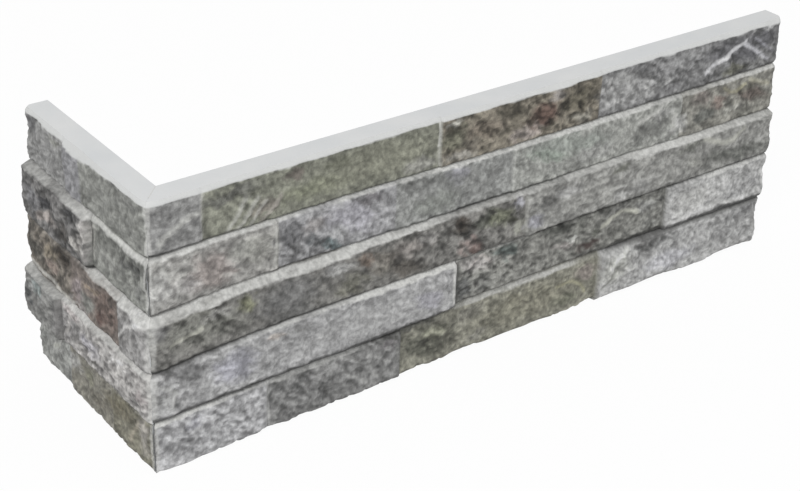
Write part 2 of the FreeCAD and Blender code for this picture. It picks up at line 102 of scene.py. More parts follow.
# Printed colour fields on the stones, and a few painted shadows under courses, as ovals:
# middle run and height, half width and half height, turn in degrees where there is one,
# colour, strength
FIELDS_AND_SHADOWS = {"long": [
    (-4, 142, 6, 7, "#656564", 0.8), (11, 142, 7, 6, "#7A7A78", 0.6), (9, 126, 7, 4, 10, "#767674", 0.5),
    (33, 142, 18, 4, 5, "#5C5C58", 0.7), (50, 130, 9, 6, 30, "#736961", 0.65),
    (68, 143, 8, 4, "#665C54", 0.8), (80, 132, 22, 6, "#74785C", 0.75),
    (118, 136, 40, 11, "#7C7D68", 0.7), (95, 142, 9, 4, "#5E604C", 0.7),
    (145, 127, 12, 5, "#8E8D86", 0.7), (165, 136, 8, 9, "#62624E", 0.85),
    (164, 145, 5, 2, "#A5A398", 0.8), (186, 137, 15, 6, -5, "#655A4C", 0.7),
    (214, 127, 13, 5, 5, "#948881", 0.8), (226, 135, 12, 8, "#584036", 0.9),
    (204, 142, 12, 5, -15, "#4A4538", 0.8), (251, 138, 13, 8, "#4B4636", 0.8),
    (252, 127, 11, 4, "#8E8C80", 0.5), (234, 144, 6, 4, "#7A7573", 0.7),
    (170, 124, 13, 3, "#7E7D77", 0.6), (176, 130, 8, 5, "#4C473E", 0.75),
    (282, 135, 17, 13, "#9A9A98", 0.7), (375, 139, 34, 9, "#535357", 0.8),
    (384, 134, 8, 4, -35, "#4C4C50", 0.8), (397, 140, 11, 6, -30, "#505054", 0.8),
    (380, 125, 28, 4, "#5C5C5A", 0.75), (372, 126, 9, 4, "#62624E", 0.7),
    (400, 145, 4, 2, -20, "#A8A8A8", 0.8), (325, 127, 5, 3, "#58585A", 0.5),
    (296, 144, 10, 3, -10, "#626264", 0.6), (302, 130, 8, 6, "#A2A2A0", 0.7),
    (315, 131, 6, 5, "#959593", 0.6), (386, 130, 9, 4, "#4C4C50", 0.6),
    (20, 105, 14, 11, 10, "#8F837D", 0.8), (28, 102, 6, 2, -5, "#6C625E", 0.7),
    (6, 101, 8, 5, "#ACA8A6", 0.6), (36, 112, 9, 5, "#7A7B74", 0.7), (46, 109, 12, 9, "#88887F", 0.6),
    (-8, 106, 7, 12, "#A4A4A1", 0.5), (64, 112, 9, 9, -25, "#505052", 0.85),
    (69, 100, 9, 6, "#616161", 0.7), (84, 101, 15, 3, -32, "#4E5254", 0.9),
    (90, 97, 9, 2.5, -20, "#5E6E70", 0.8), (104, 108, 20, 9, -20, "#9A98A2", 0.7),
    (112, 117, 9, 3, "#5E5A5E", 0.8), (80, 112, 8, 5, "#8F8783", 0.5), (95, 103, 7, 4, "#A4A5A5", 0.55),
    (120, 102, 9, 5, "#ABABAD", 0.6), (146, 117, 14, 4, -5, "#646562", 0.7),
    (169, 115, 7, 5, -30, "#82818B", 0.7), (178, 112, 8, 5, "#70716E", 0.6),
    (155, 102, 18, 7, "#868B82", 0.6), (161, 112, 10, 5, "#686A67", 0.75),
    (195, 109, 4, 3, "#646462", 0.7), (245, 112, 34, 7, -8, "#7F877E", 0.7),
    (230, 109, 16, 4, -20, "#7F8C7E", 0.8), (306, 104, 18, 7, 12, "#5E5F5B", 0.8),
    (316, 112, 8, 4, "#A0A09D", 0.6), (331, 102, 7, 6, "#B0B0AD", 0.8), (266, 102, 16, 6, "#9C9C99", 0.5),
    (348, 114, 11, 4, "#766B65", 0.7), (363, 108, 7, 5, "#7C685E", 0.8),
    (391, 107, 14, 6, -20, "#5A4C44", 0.8), (384, 113, 8, 4, "#56564A", 0.6),
    (351, 102, 9, 5, "#5C605B", 0.7), (376, 100, 10, 4, 10, "#9A9A90", 0.6),
    (12, 78, 26, 12, "#62635A", 0.7), (-10, 82, 5, 6, "#57575A", 0.6), (38, 81, 6, 5, "#7C7E58", 0.8),
    (21, 82, 7, 4, "#92918D", 0.6), (36, 71, 8, 5, "#565650", 0.6), (62, 77, 20, 12, "#6B6B6A", 0.8),
    (62, 66, 24, 3, "#5A5A58", 0.7), (91, 83, 10, 5, "#949492", 0.75), (101, 71, 10, 7, "#6B6A59", 0.7),
    (109, 84, 6, 5, "#75604E", 0.7), (136, 82, 18, 6, "#7B736D", 0.6), (120, 78, 9, 9, "#665F52", 0.55),
    (148, 84, 7, 4, "#8E8C88", 0.6), (135, 71, 13, 6, -10, "#48423A", 0.8),
    (171, 85, 8, 7, -30, "#3A322A", 0.9), (178, 82, 8, 5, "#322E28", 0.7),
    (178, 71, 9, 4, -10, "#7E6C66", 0.8), (181, 67, 8, 2, "#563F38", 0.8),
    (189, 84, 9, 6, "#42453B", 0.85), (198, 82, 9, 6, "#676B50", 0.8), (206, 78, 3, 3, "#3C3E2C", 0.8),
    (211, 87, 4, 5, "#8B8B94", 0.8), (212, 73, 4, 6, "#909182", 0.7), (223, 72, 7, 5, "#8B8B97", 0.7),
    (232, 82, 6, 6, -40, "#5E5E5B", 0.8), (262, 76, 20, 8, "#95958F", 0.5),
    (246, 84, 9, 5, "#AAAAA8", 0.7), (303, 71, 9, 4, "#727270", 0.65), (288, 70, 8, 4, "#A6A6A4", 0.5),
    (285, 88, 6, 3, "#686A5E", 0.8), (340, 86, 11, 4, "#60625A", 0.8),
    (378, 72, 34, 6, -5, "#545650", 0.8), (345, 75, 8, 3, -15, "#94948C", 0.7),
    # The field at (2, 55) is a painted shadow of course 3 on course 4 near the corner
    (400, 78, 6, 5, "#8F8F8B", 0.6), (2, 55, 14, 5, -8, "#5C5C5C", 0.8), (-8, 43, 6, 9, "#757573", 0.6),
    (-6, 39, 6, 3, "#7A7A7A", 0.6), (30, 48, 13, 10, "#8A8A98", 0.7), (54, 57, 5, 3, "#B8AEA4", 0.9),
    (68, 57, 8, 3, "#747472", 0.6), (110, 46, 45, 9, "#A2A2A1", 0.5),
    (151, 46, 11, 6, -20, "#9896A2", 0.6), (176, 43, 6, 8, "#484A4A", 0.8),
    (190, 42, 7, 5, "#585956", 0.65), (184, 57, 12, 5, -20, "#A09A97", 0.7),
    (205, 57, 8, 5, -20, "#54605C", 0.9), (247, 59, 16, 4, "#454741", 0.8),
    (260, 54, 8, 4, "#62635C", 0.6), (255, 50, 3, 2.5, "#BCBEB6", 0.9), (267, 41, 9, 4, "#443430", 0.9),
    # The field at (268, 60.5) is a painted shadow of course 3 on the head of course 4
    (273, 48, 4, 3, "#3C3F34", 0.8), (268, 60.5, 46, 2.4, "#464842", 0.55),
    (312, 54, 8, 4, -10, "#939490", 0.7), (287, 59, 14, 3, "#5A5A57", 0.7),
    (316, 42, 8, 4, "#90918A", 0.65), (322, 57, 3, 4, "#2C2C2C", 0.8),
    (249, 47, 9, 3, -10, "#918A86", 0.7), (345, 50, 18, 9, "#AAAAA6", 0.6),
    (390, 47, 17, 6, "#8A8A8A", 0.6), (386, 42, 10, 4, "#828282", 0.6), (6, 22, 4, 4, "#80808A", 0.6),
    # The field at (140, 30) is a painted shadow of course 4 on the head of course 5
    (20, 16, 14, 8, 30, "#8A8A8B", 0.4), (140, 30, 25, 3.4, "#484844", 0.8),
    (128, 25, 7, 3, "#7A7477", 0.6), (70, 19, 16, 9, "#6C6C6B", 0.6), (153, 16, 20, 12, "#515246", 0.8),
    (159, 20, 9, 5, "#93947A", 0.7), (152, 15, 2.5, 2.5, "#2E2F28", 0.8),
    (182, 24, 11, 5, "#6E6C62", 0.65), (190, 9, 8, 4, "#98968A", 0.6), (225, 16, 40, 11, "#7B7862", 0.6),
    (218, 22, 10, 4, "#686552", 0.5), (255, 9, 14, 5, "#626450", 0.7), (269, 23, 8, 6, "#7E726D", 0.7),
    (290, 20, 13, 10, "#A1A298", 0.6), (322, 27, 22, 4, -3, "#5F605E", 0.8),
    (334, 12, 22, 7, "#ABABB2", 0.65), (382, 16, 28, 12, "#929291", 0.6),
    (392, 28, 20, 6, "#6A6A6A", 0.75), (316, 30, 14, 3, "#5A5A58", 0.7), (345, 26, 18, 6, "#8A8A89", 0.5),
], "short": [
    (4, 142, 14, 5, -10, "#676864", 0.7), (48, 127, 5, 2, "#5C5D56", 0.8), (8, 132, 6, 2, "#666762", 0.6),
    (106, 144, 5, 7, "#545456", 0.9), (80, 144, 8, 3, "#7A7B70", 0.6),
    (3, 110, 13, 3, -12, "#525350", 0.8), (-6, 99, 6, 5, "#5C5D5A", 0.7),
    (26, 102, 14, 5, "#888983", 0.6), (45, 105, 3.8, 15, "#A9A5A0", 0.85),
    (51, 100, 6, 6, -30, "#A6A29B", 0.75), (66, 96.5, 10, 3, "#343230", 0.8),
    (57, 114, 7, 5, -30, "#3C3C3E", 0.8), (84, 108, 11, 4, -20, "#3A3A3E", 0.9),
    (66, 100, 10, 5, -20, "#3C3731", 0.8), (85, 99, 11, 4, -15, "#8E847D", 0.8),
    (100, 104, 9, 8, "#66666A", 0.7), (-5, 86, 9, 4, -15, "#D2D1CF", 0.8),
    (7, 81, 6, 3.5, "#A8A5A2", 0.55), (7, 68, 6, 4, "#6C6A68", 0.6), (26, 74, 13, 12, "#68544A", 0.8),
    (34, 67, 5, 6, "#523A32", 0.8), (20, 83, 6, 3, "#3C342E", 0.7), (40, 78, 8, 2.5, -10, "#88765F", 0.8),
    (56, 71, 7, 8, "#8B7F80", 0.7), (47, 67, 7, 5, "#6E736D", 0.7), (70, 84, 9, 8, -20, "#2E271F", 0.9),
    (85, 80, 11, 5, -20, "#6F6450", 0.9), (85, 71, 9, 4, -15, "#88766A", 0.8),
    (103, 72, 9, 8, "#535048", 0.8), (72, 66, 7, 4, "#4A453E", 0.7), (56, 61.5, 12, 2.2, "#8E8A88", 0.7),
    (-9, 42, 5, 4, "#7A6F6F", 0.7), (14, 50, 14, 4, "#C0BEBC", 0.55), (40, 37, 4, 1.6, "#484740", 0.9),
    (49, 44, 3, 3, -30, "#646464", 0.7), (62, 47, 6, 5, -30, "#737372", 0.7),
    (45, 44, 12, 6, "#A09EAA", 0.5), (70, 43, 12, 13, "#767473", 0.8), (64, 54, 9, 4, "#A89E9C", 0.8),
    (97, 52, 7, 5, "#7A8785", 0.8), (107, 43, 4, 4, "#484C4F", 0.8), (105, 50, 6, 4, "#989A98", 0.65),
    (-7, 18, 7, 12, "#A39D95", 0.7), (6, 27, 12, 3.5, "#5C5A4C", 0.7),
    (18, 20, 18, 7, -15, "#67614A", 0.9), (52, 20, 6, 6, "#7F7F66", 0.7), (40, 11, 14, 5, "#5E594C", 0.7),
    (69, 20, 8, 7, "#A0A09E", 0.7), (92, 21, 9, 6, "#A0A09C", 0.55),
]}

# Veins and split ridges, and painted highlights and shadows along steps and joints: points as (run, height),
# width, colour, strength, rise
VEINS_AND_PAINTED_LIGHT = {"long": [
    ([(-7, 127), (-1, 132), (6, 136), (14, 137)], 2.2, "#B4B4B0", 0.7, 0.5),
    ([(30, 123), (40, 137)], 1.7, "#A6A6A1", 0.65, 0.5),
    ([(36, 123), (47, 137)], 1.7, "#A6A6A1", 0.65, 0.5),
    ([(43, 123), (51, 134)], 1.6, "#A6A6A1", 0.6, 0.5),
    ([(49, 122), (60, 134)], 1.6, "#A49F99", 0.6, 0.5),
    # Painted highlight on the lit end of the prouder stone at this joint
    ([(156.5, 149), (156.5, 138), (156.6, 134)], 1.0, "#DCDCD8", 0.8, 0.0),
    ([(156.6, 134), (157.2, 121)], 1.0, "#C6C6C0", 0.5, 0.0),
    ([(16.2, 150), (16.2, 134)], 1.2, "#B9B9B4", 0.65, 0.0),
    ([(16.2, 134), (15.8, 124)], 1.2, "#A4A4A0", 0.35, 0.0),
    ([(349, 128.5), (360, 133.5), (372, 138.5), (381, 142)], 1.8, "#C4C4C6", 0.9, 0.1),
    ([(357, 132.4), (367, 136.8)], 2.3, "#CACACC", 0.8, 0.1),
    ([(380, 140), (391, 133), (401, 126)], 1.6, "#B2B2B6", 0.9, 0.1),
    ([(388, 142), (405, 130)], 0.9, "#94949A", 0.6, 0.2),
    ([(-8, 117), (-3, 108), (2, 112)], 1.4, "#B8B8B4", 0.5, 0.2),
    ([(0, 97), (3, 108)], 1.1, "#B6B6B2", 0.5, 0.2),
    ([(56.6, 118), (56.4, 96)], 1.6, "#BDBDB8", 0.6, 0.0),
    # Painted highlight on the lit end of the prouder stone at this joint
    ([(206.6, 119), (206.6, 96)], 1.8, "#B9BAB6", 0.5, 0.0),
    ([(299, 111), (308, 114), (322, 120)], 2.0, "#B8B8B4", 0.8, 0.3),
    ([(324, 99), (327, 108)], 2.6, "#ACACA8", 0.5, 0.0),
    ([(366, 116), (371, 112), (377, 111), (384, 114)], 1.6, "#9C9880", 0.6, 0.5),
    ([(388, 116), (398, 112), (404, 110)], 1.8, "#A6A392", 0.6, 0.5),
    ([(-5, 72), (3, 74), (12, 77)], 1.5, "#A8A89E", 0.65, 0.3),
    # Painted highlight on the lit end of the prouder stone at this joint
    ([(216.4, 88), (216.4, 68)], 1.8, "#AFAFAA", 0.6, 0.0),
    ([(273, 75), (292, 76), (316, 74)], 1.3, "#A9A9A6", 0.7, 0.2),
    ([(290, 71), (312, 70.5)], 1.0, "#666664", 0.7, -0.2),
    ([(352, 88), (366, 82), (376, 82), (384, 87)], 2.4, "#A8A8A0", 0.8, 0.4),
    ([(-12, 52), (-4, 46), (-6, 38)], 1.4, "#B0B0AE", 0.7, 0.2),
    # Painted highlight on the rounded end arris of course 4's first stone
    ([(167.6, 60), (167.6, 38)], 1.4, "#C4C4C0", 0.8, 0.2),
    # Painted shadow beside the end of course 4's first stone
    ([(171.5, 61), (171.5, 36)], 1.2, "#464644", 0.7, 0.0),
    ([(180, 56), (188, 61), (194, 55)], 1.2, "#B2ACA8", 0.6, 0.3),
    ([(278, 50), (285, 55), (292, 56.5), (303, 53)], 2.0, "#AAAAA0", 0.9, 0.5),
    ([(330, 38.5), (350, 40), (372, 39.5), (396, 38)], 1.6, "#C8C8C6", 0.7, 0.3),
    ([(49.6, 30), (49.6, 3)], 1.6, "#BEBEBC", 0.6, 0.0),
    # Painted shadow of course 4 on the head of course 5
    ([(284, 33.1), (317, 32.9), (339, 32.8), (361, 32.5), (383, 32.2), (408, 31.8)],
     1.7, "#4A4A49", 0.75, 0.0),
    # Painted shadow of course 4 on the head of course 5
    ([(258, 33.5), (276, 33.2)], 1.5, "#4E4C48", 0.7, 0.0),
    ([(95, 28), (108, 20)], 1.1, "#A9A9A7", 0.6, 0.2), ([(100, 15), (112, 6)], 1.1, "#A6A6A4", 0.6, 0.2),
    ([(112, 24), (127, 14)], 1.0, "#A6A6A4", 0.6, 0.2),
    ([(248, 19), (258, 19.5), (266, 15), (270, 9)], 1.5, "#9D9B84", 0.8, 0.4),
    ([(287, 20), (292, 26), (298, 30)], 2.0, "#C9CAC5", 0.85, 0.3),
    ([(281, 8), (295, 22)], 1.3, "#6C6D67", 0.7, -0.3),
    ([(298, 17.5), (301, 14.5), (306, 15.5)], 1.1, "#D4D4D0", 0.9, 0.3),
], "short": [
    # Painted highlight on the head edge of course 2's first stone
    ([(-8, 118.3), (14, 118.2), (41, 118.6)], 1.3, "#C2C3BC", 0.7, 0.0),
    # Painted shadow beside the step between course 2's two stones
    ([(41.1, 117), (41.1, 93)], 0.7, "#33332F", 0.9, 0.0),
    # Painted highlight beside the step between course 2's two stones
    ([(39.2, 117), (39.2, 96)], 1.0, "#A8A7A2", 0.6, 0.0),
    ([(60, 58), (68, 47), (71, 38)], 1.4, "#B9B6B2", 0.6, 0.2),
    ([(62, 59.6), (85, 61.2), (112, 62.6)], 2.1, "#BDBCB7", 0.85, 0.0),
    ([(-2, 80), (6, 75), (11, 68)], 1.3, "#C8C7C5", 0.6, 0.2),
    ([(4, 54), (14, 45), (22, 40)], 1.5, "#B9B7B4", 0.6, 0.2),
    ([(22, 52), (34, 44)], 1.3, "#BAB8B5", 0.6, 0.2),
    ([(-3, 24), (4, 14), (8, 6)], 1.4, "#A59E90", 0.6, 0.2),
    ([(87, 20), (94, 16)], 1.6, "#AFB0A8", 0.8, 0.3),
]}

# Worn upper edges of the courses, partly real wear and partly a painted highlight where the
# ledge faces up, as rows of (run, paleness, start, end), with the start and end in
# millimetres below the bed joint
WORN_AND_LIT_EDGES = {"long": (
    ((-14, 0.0, 0, 1.8), (410, 0.0, 0, 1.8)),
    ((-14, 0.9, 0, 1.9), (16, 1.0, 0, 1.9), (24, 0.9, 0, 1.6), (50, 0.9, 0, 1.5), (66, 0.7, 0, 1.4),
     (78, 0.2, 0, 1.2), (90, 0.3, 0, 1.4), (96, 0.8, 0, 1.8), (112, 0.75, 0, 1.8), (118, 0.55, 0, 1.6),
     (150, 0.6, 0, 1.4), (160, 0.95, 0, 2.2), (205, 0.8, 0, 2.2), (218, 0.8, 0, 2.2), (262, 0.75, 0, 2.4),
     (300, 0.8, 0, 2.2), (326, 0.65, 0, 1.8), (336, 0.45, 0, 2.2), (352, 0.45, 0, 2.2),
     (362, 0.7, 0, 2.2), (410, 0.9, 0, 2.4)),
    ((-14, 0.75, 0, 4.4), (4, 0.76, 0, 5.0), (18, 0.8, 0, 5.6), (32, 0.78, 0, 4.9), (60, 0.75, 1.0, 5.4),
     (82, 0.75, 1.5, 5.9), (98, 0.85, 0.6, 4.6), (112, 0.85, 0, 3.0), (150, 0.85, 0, 2.8),
     (162, 0.55, 0, 1.8), (182, 0.6, 0, 1.8), (212, 0.55, 0, 2.2), (240, 0.4, 0, 1.8), (250, 0.6, 0, 2.0),
     (290, 0.6, 0, 2.4), (300, 0.85, 0, 4.0), (318, 1.0, 0, 3.0), (346, 0.95, 0, 3.0), (358, 0.8, 0, 2.4),
     (392, 0.7, 0, 2.2), (410, 0.5, 0, 2.0)),
    ((-14, 0.05, 0, 1.5), (20, 0.1, 0, 1.5), (30, 0.35, 0, 1.5), (44, 0.3, 0, 1.5), (52, 0.75, 0, 1.8),
     (64, 0.8, 0, 1.8), (72, 0.6, 0, 1.6), (88, 0.6, 0, 1.6), (98, 0.75, 0, 1.8), (112, 1.0, 0, 2.6),
     (167, 1.0, 0, 2.8), (171, 0.3, 0, 1.5), (196, 0.35, 0, 1.5), (202, 0.5, 0, 1.6), (218, 0.3, 0, 1.6),
     (224, 0.0, 0, 1.5), (320, 0.05, 0, 1.5), (332, 0.1, 0, 1.6), (350, 0.3, 0, 1.6), (362, 0.9, 0, 2.6),
     (380, 0.7, 0, 2.2), (396, 0.6, 0, 2.0), (410, 0.5, 0, 2.0)),
    ((-14, 0.9, 0.2, 2.8), (8, 0.8, 0, 2.4), (30, 0.55, 0, 2.0), (44, 0.5, 0, 1.9), (56, 0.4, 0, 3.4),
     (80, 0.45, 0, 3.6), (104, 0.35, 0, 3.0), (114, 0.05, 0, 1.5), (168, 0.05, 0, 1.5),
     (174, 0.4, 0.4, 3.2), (186, 0.6, 0.8, 3.8), (200, 0.66, 1.1, 4.2), (225, 0.76, 1.2, 4.2),
     (254, 0.74, 1.2, 4.2), (266, 0.15, 1.2, 4.2), (298, 0.1, 1.4, 4.2), (306, 0.1, 0, 1.6),
     (410, 0.1, 0, 1.6)),
), "short": (
    ((-14, 0.0, 0, 1.8), (112, 0.0, 0, 1.8)),
    ((-14, 0.8, 0.6, 4.0), (0, 0.85, 1.6, 4.3), (22, 0.8, 1.6, 4.2), (41.5, 0.55, 0.8, 4.0),
     (42.5, 0.85, 0, 4.0), (52, 0.8, 0, 3.4), (64, 0.6, 0, 2.6), (80, 0.4, 0, 2.2), (90, 0.6, 0, 2.4),
     (112, 0.5, 0, 2.6)),
    ((-14, 1.0, 0.4, 4.6), (0, 0.9, 0.4, 4.8), (12, 0.85, 0.6, 4.8), (15, 0.8, 0, 3.6), (42, 0.8, 0, 3.4),
     (48, 0.3, 0, 2.6), (62, 0.1, 0, 2.4), (112, 0.1, 0, 2.0)),
    ((-14, 0.6, 0, 3.0), (10, 0.6, 0, 3.0), (30, 0.6, 0, 3.4), (45, 0.75, 0, 3.4), (60, 0.8, 0, 3.0),
     (76, 0.6, 0, 2.0), (92, 0.5, 0, 2.0), (112, 0.6, 0, 2.4)),
    ((-14, 0.15, 0, 1.6), (112, 0.1, 0, 1.6)),
)}
# How deep the rounded foot of each course but the last is along the leaf, and how much
# painted shade lies on it and under it on the course below, as (runs, shares), and the
# height of the rounded foot where that share is full
FOOT_DEPTH_AND_SHADE = {
    "long": (
        ((-14, 6, 20, 34, 46, 60, 100, 160, 260, 275, 345, 350, 410),
         (1.0, 0.8, 0.55, 0.65, 0.4, 0.35, 0.4, 0.3, 0.5, 0.6, 0.7, 0.75, 0.7)),
        ((-14, 10, 22, 55, 62, 100, 110, 160, 170, 210, 240, 255, 285, 340, 410),
         (0.85, 0.7, 0.2, 0.3, 0.4, 0.4, 0.6, 0.6, 0.9, 0.8, 0.6, 0.4, 0.1, 0.2, 0.45)),
        ((-14, 24, 40, 100, 112, 165, 172, 218, 226, 330, 345, 410),
         (1.0, 1.0, 0.8, 0.75, 0.3, 0.3, 0.1, 0.15, 1.0, 0.95, 0.7, 0.85)),
        ((-14, 40, 60, 112, 120, 168, 173, 190, 255, 270, 300, 340, 375, 410),
         (0.9, 1.0, 1.0, 1.0, 1.0, 1.0, 0.4, 0.4, 0.5, 0.7, 0.9, 0.8, 1.0, 1.0)),
    ),
    "short": (
        ((-14, 112), (0.1, 0.15)),
        ((-14, 35, 41, 48, 54, 60, 80, 90, 112), (0.25, 0.25, 1.0, 1.0, 0.4, 0.5, 0.2, 0.6, 0.6)),
        ((-14, 60, 70, 112), (0.25, 0.2, 0.0, 0.0)),
        ((-14, 112), (0.1, 0.15)),
    ),
}
FOOT_LIPS = (2.2, 2.4, 2.8, 4.6, 1.8)
# How open the upright joints of each course are: 1 is a full groove, 0 a change of print
OPEN_JOINTS = {
    "long": ((0.0, 0.2, 0.0), (0.25, 0.1, 0.2, 0.0), (0.25,), (1.0, 0.3), (0.5, 0.0, 0.15)),
    "short": ((0.0, 0.0), (0.4,), (0.3, 0.0), (0.5,), (0.0, 0.0)),
}

# Waves of the bed joints, as (runs, rises), and bites out of the foot and the head
# arris of each leaf, as (run, half width, bite)
BED_WAVES = {
    "long": (
        ((0, 30, 110, 281, 350, 410), (0.0, 0.4, 0.4, -0.4, -0.6, 0.0)),
        ((0, 50, 80, 110, 210, 300, 345, 410), (0.0, 1.0, 1.0, 0.2, -0.2, 0.8, -1.2, -1.0)),
        ((0, 50, 110, 410), (0.0, 0.4, 0.4, 0.0)),
        ((0, 80, 160, 178, 275, 340, 410), (0.0, -0.6, -0.6, 2.0, 2.0, 1.6, 0.6)),
    ),
    "short": (((0,), (0.0,)), ((98, 112), (0.0, 1.5)), ((98, 112), (0.0, 3.0)), ((0,), (0.0,))),
}
FOOT_BITES = {"long": (
    (0, 10, -1.4), (34, 12, 0.5), (52, 8, 1.2), (75, 12, 0.4), (97, 12, 0.5), (125, 14, 0.9),
    (147, 8, 1.0), (180, 13, 1.5), (210, 16, 0.8), (234, 8, 0.7), (289, 19, 2.3), (325, 17, 2.6),
    (352, 12, 0.7), (388, 18, 2.2),
), "short": (
    (-4, 14, 0.5), (30, 14, 0.3), (58, 6, 0.5), (85, 14, 0.8), (108, 6, 0.5),
)}
HEAD_BITES = {
    "long": ((235, 11, 1.0), (368, 9, 0.9), (404, 6, 1.2), (60, 8, 0.3), (120, 12, 0.4), (210, 8, 0.5),
             (317, 7, 0.5)),
    "short": ((56, 11, 1.7), (54, 19, 0.9), (20, 9, 0.3), (84, 8, 0.7)),
}
# Ground where the print is more strongly speckled, or smoother if the share is negative:
# middle run and height, half width and half height, share
SPECKLES = {"long": (
    (28, 135, 22, 14, 0.3), (100, 135, 42, 14, -0.25), (175, 135, 17, 14, 0.5), (236, 135, 28, 14, 0.6),
    (318, 137, 24, 12, 0.4), (378, 130, 32, 12, 0.3), (66, 106, 9, 15, 0.7), (80, 97, 14, 5, 0.7),
    (100, 110, 22, 9, -0.3), (168, 108, 38, 13, -0.3), (265, 108, 52, 13, -0.35), (375, 108, 35, 12, 0.2),
    (10, 78, 26, 15, 0.75), (60, 77, 16, 14, -0.35), (150, 78, 34, 15, 0.4), (184, 78, 26, 15, 0.6),
    (262, 78, 34, 12, -0.2), (345, 78, 60, 12, -0.3), (-6, 48, 10, 16, 0.9), (20, 48, 17, 16, 0.3),
    (112, 46, 52, 13, -0.45), (190, 48, 24, 14, 0.8), (352, 48, 24, 14, -0.3), (20, 16, 30, 14, 0.15),
    (68, 20, 22, 14, 0.4), (160, 16, 25, 14, 0.6), (350, 12, 44, 12, -0.25),
), "short": (
    (18, 135, 34, 14, -0.25), (90, 135, 30, 12, -0.2), (-4, 106, 12, 14, 0.6), (26, 104, 14, 10, -0.3),
    (80, 106, 35, 14, 0.4), (20, 76, 9, 14, 0.5), (90, 76, 30, 14, 0.45), (40, 14, 34, 13, -0.2),
)}
LEAF_NUMBERS = {"long": 1, "short": 2}

# Sine of the repeatable scatter, and the steps of its angle
SINE_SIZE = 43758.5453
SINE_START = 4.1
SCATTER_STEP = 37.719
SPECKLE_STEPS = (127.1, 311.7, 74.7)

# Strokes of the split grain, the flakes and the print, as length and width, and the
# sizes of the grit and of the printed flecks
GRAIN_STROKE = (4.2, 1.9)
FLAKE_STROKE = (7.5, 4.0)
PRINT_STROKE = (3.4, 1.8)
GRIT_SIZE = 1.5
FLECK_SIZE = 1.3
# Strokes that make the colour fields ragged: length, width, reach along the run and in
# height, and the number that keeps their scatter apart
RAGGED_STROKES = ((7.0, 3.0, 2.6, 2.0, 8), (2.6, 1.6, 1.2, 1.0, 37))
# Share of its own colour that a field keeps, the rest being its grey
FIELD_COLOUR = 0.62
GREY_WEIGHTS = (0.21, 0.72, 0.07)
# How far past its bed joints a course still shows fields and veins that lie there
MARK_MARGIN = 1.0
# Bed joints' tremor: its height, how far before the corner it starts, and over what run it
# reaches its full height. Then lengths along the run of its waves, of crumbs at the foot
# of the panel, and of quick and slow wear along the courses
TREMOR_HEIGHT = 0.1
TREMOR_START = 4.0
TREMOR_RISE = 12.0
TREMOR_RUN = 7.0
CRUMB_RUN = 2.6
WEAR_RUN = 5.0
SLOW_WEAR_RUN = 13.0
# Distance from the bed joints over which the cleft grows to its full depth
CALM_HEIGHT = 8.0
# Wear of each course's outer arris, as paleness, reach and softness, the courses with an
# open seam there that gets painted shade, and the one with a worn upper corner
CORNER_WEAR = ((0.5, 2.9, 1.4), (0.5, 3.4, 1.6), (0.45, 5.0, 2.5), (0.45, 5.0, 2.5), (0.5, 3.4, 1.6))
SEAM_COURSES = (1, 4)
WORN_CORNER_COURSE = 2
WORN_CORNER = (0.7, 9.0, 5.0)
# Colour of the worn upper edges, partly a painted highlight on the ledges
WORN_AND_LIT_EDGE_COLOUR = "#C2C2BF"
BARE_EDGE_COLOUR = "#C4C5C4"
BARE_EDGE_HEIGHT = 2.3
# Colour of the painted shade in the joints, on the rounded feet and under the courses above
JOINT_SHADE_COLOUR = "#2E2E2D"
BODY_COLOUR = "#C9C9C6"
PRINT_RANGE = (0.004, 0.56)


def sine_digits(angle):
    """Value in -1..1 from the digits behind the point of a large multiple of a sine."""
    wave = SINE_SIZE * np.sin(SINE_START + angle)
    return 2.0 * (wave - np.floor(wave)) - 1.0


def scatter(*keys):
    """Repeatable scatter in -1..1 for arrays of whole numbers, the same as in the CAD
    model. The last key is a number that keeps one use of the scatter apart from others."""
    return sine_digits(sum(SCATTER_STEP * (place + 1) * key for place, key in enumerate(keys)))


def speckle(column, row, *keys):
    """Repeatable scatter in -1..1 with unlike steps along columns and rows, so that the
    finer grain doesn't fall into lines."""
    own = sum(SPECKLE_STEPS[2] * (place + 1) * key for place, key in enumerate(keys))
    return sine_digits(SPECKLE_STEPS[0] * column + SPECKLE_STEPS[1] * row + own)


def fold(value):
    """Triangle wave in -1..1 with a period of one."""
    return 4.0 * np.abs(value - np.floor(value + 0.5)) - 1.0


def clamp(value):
    """Value held within 0..1."""
    return np.clip(value, 0.0, 1.0)


def smooth_step(value):
    """Rise from 0 to 1 as the value t goes from 0 to 1: 3t squared less 2t cubed."""
    value = clamp(value)
    return value * value * (3 - 2 * value)


def soft_edge(inside, softness, ragged=0.0):
    """Share of what ends at an edge, by the distance inside it: half at the edge itself,
    and from none to full within its softness."""
    return smooth_step(inside / softness + 0.5 + ragged)


def on_lattice(across, up, value, rise, keys):
    """Values at the points of a square lattice, blended between them by a rise curve."""
    column, row = np.floor(across), np.floor(up)
    right, top = rise(across - column), rise(up - row)
    low = (1 - right) * value(column, row, *keys) + right * value(column + 1, row, *keys)
    high = (1 - right) * value(column, row + 1, *keys) + right * value(column + 1, row + 1, *keys)
    return (1 - top) * low + top * high


def ground(across, up, *keys):
    """Uneven ground in -1..1: speckle on a lattice, blended along the smooth step."""
    return on_lattice(across, up, speckle, smooth_step, keys)


def ripple(run, length, *keys):
    """Uneven line in -1..1 along the run, with waves of about that length."""
    return ground(run / length, 0.0 * run, *keys)


def clouds(spot, width, height, *keys):
    """Ground over the face, with patches of that width and height in millimetres."""
    return ground(spot.run / width, spot.height / height, *keys)


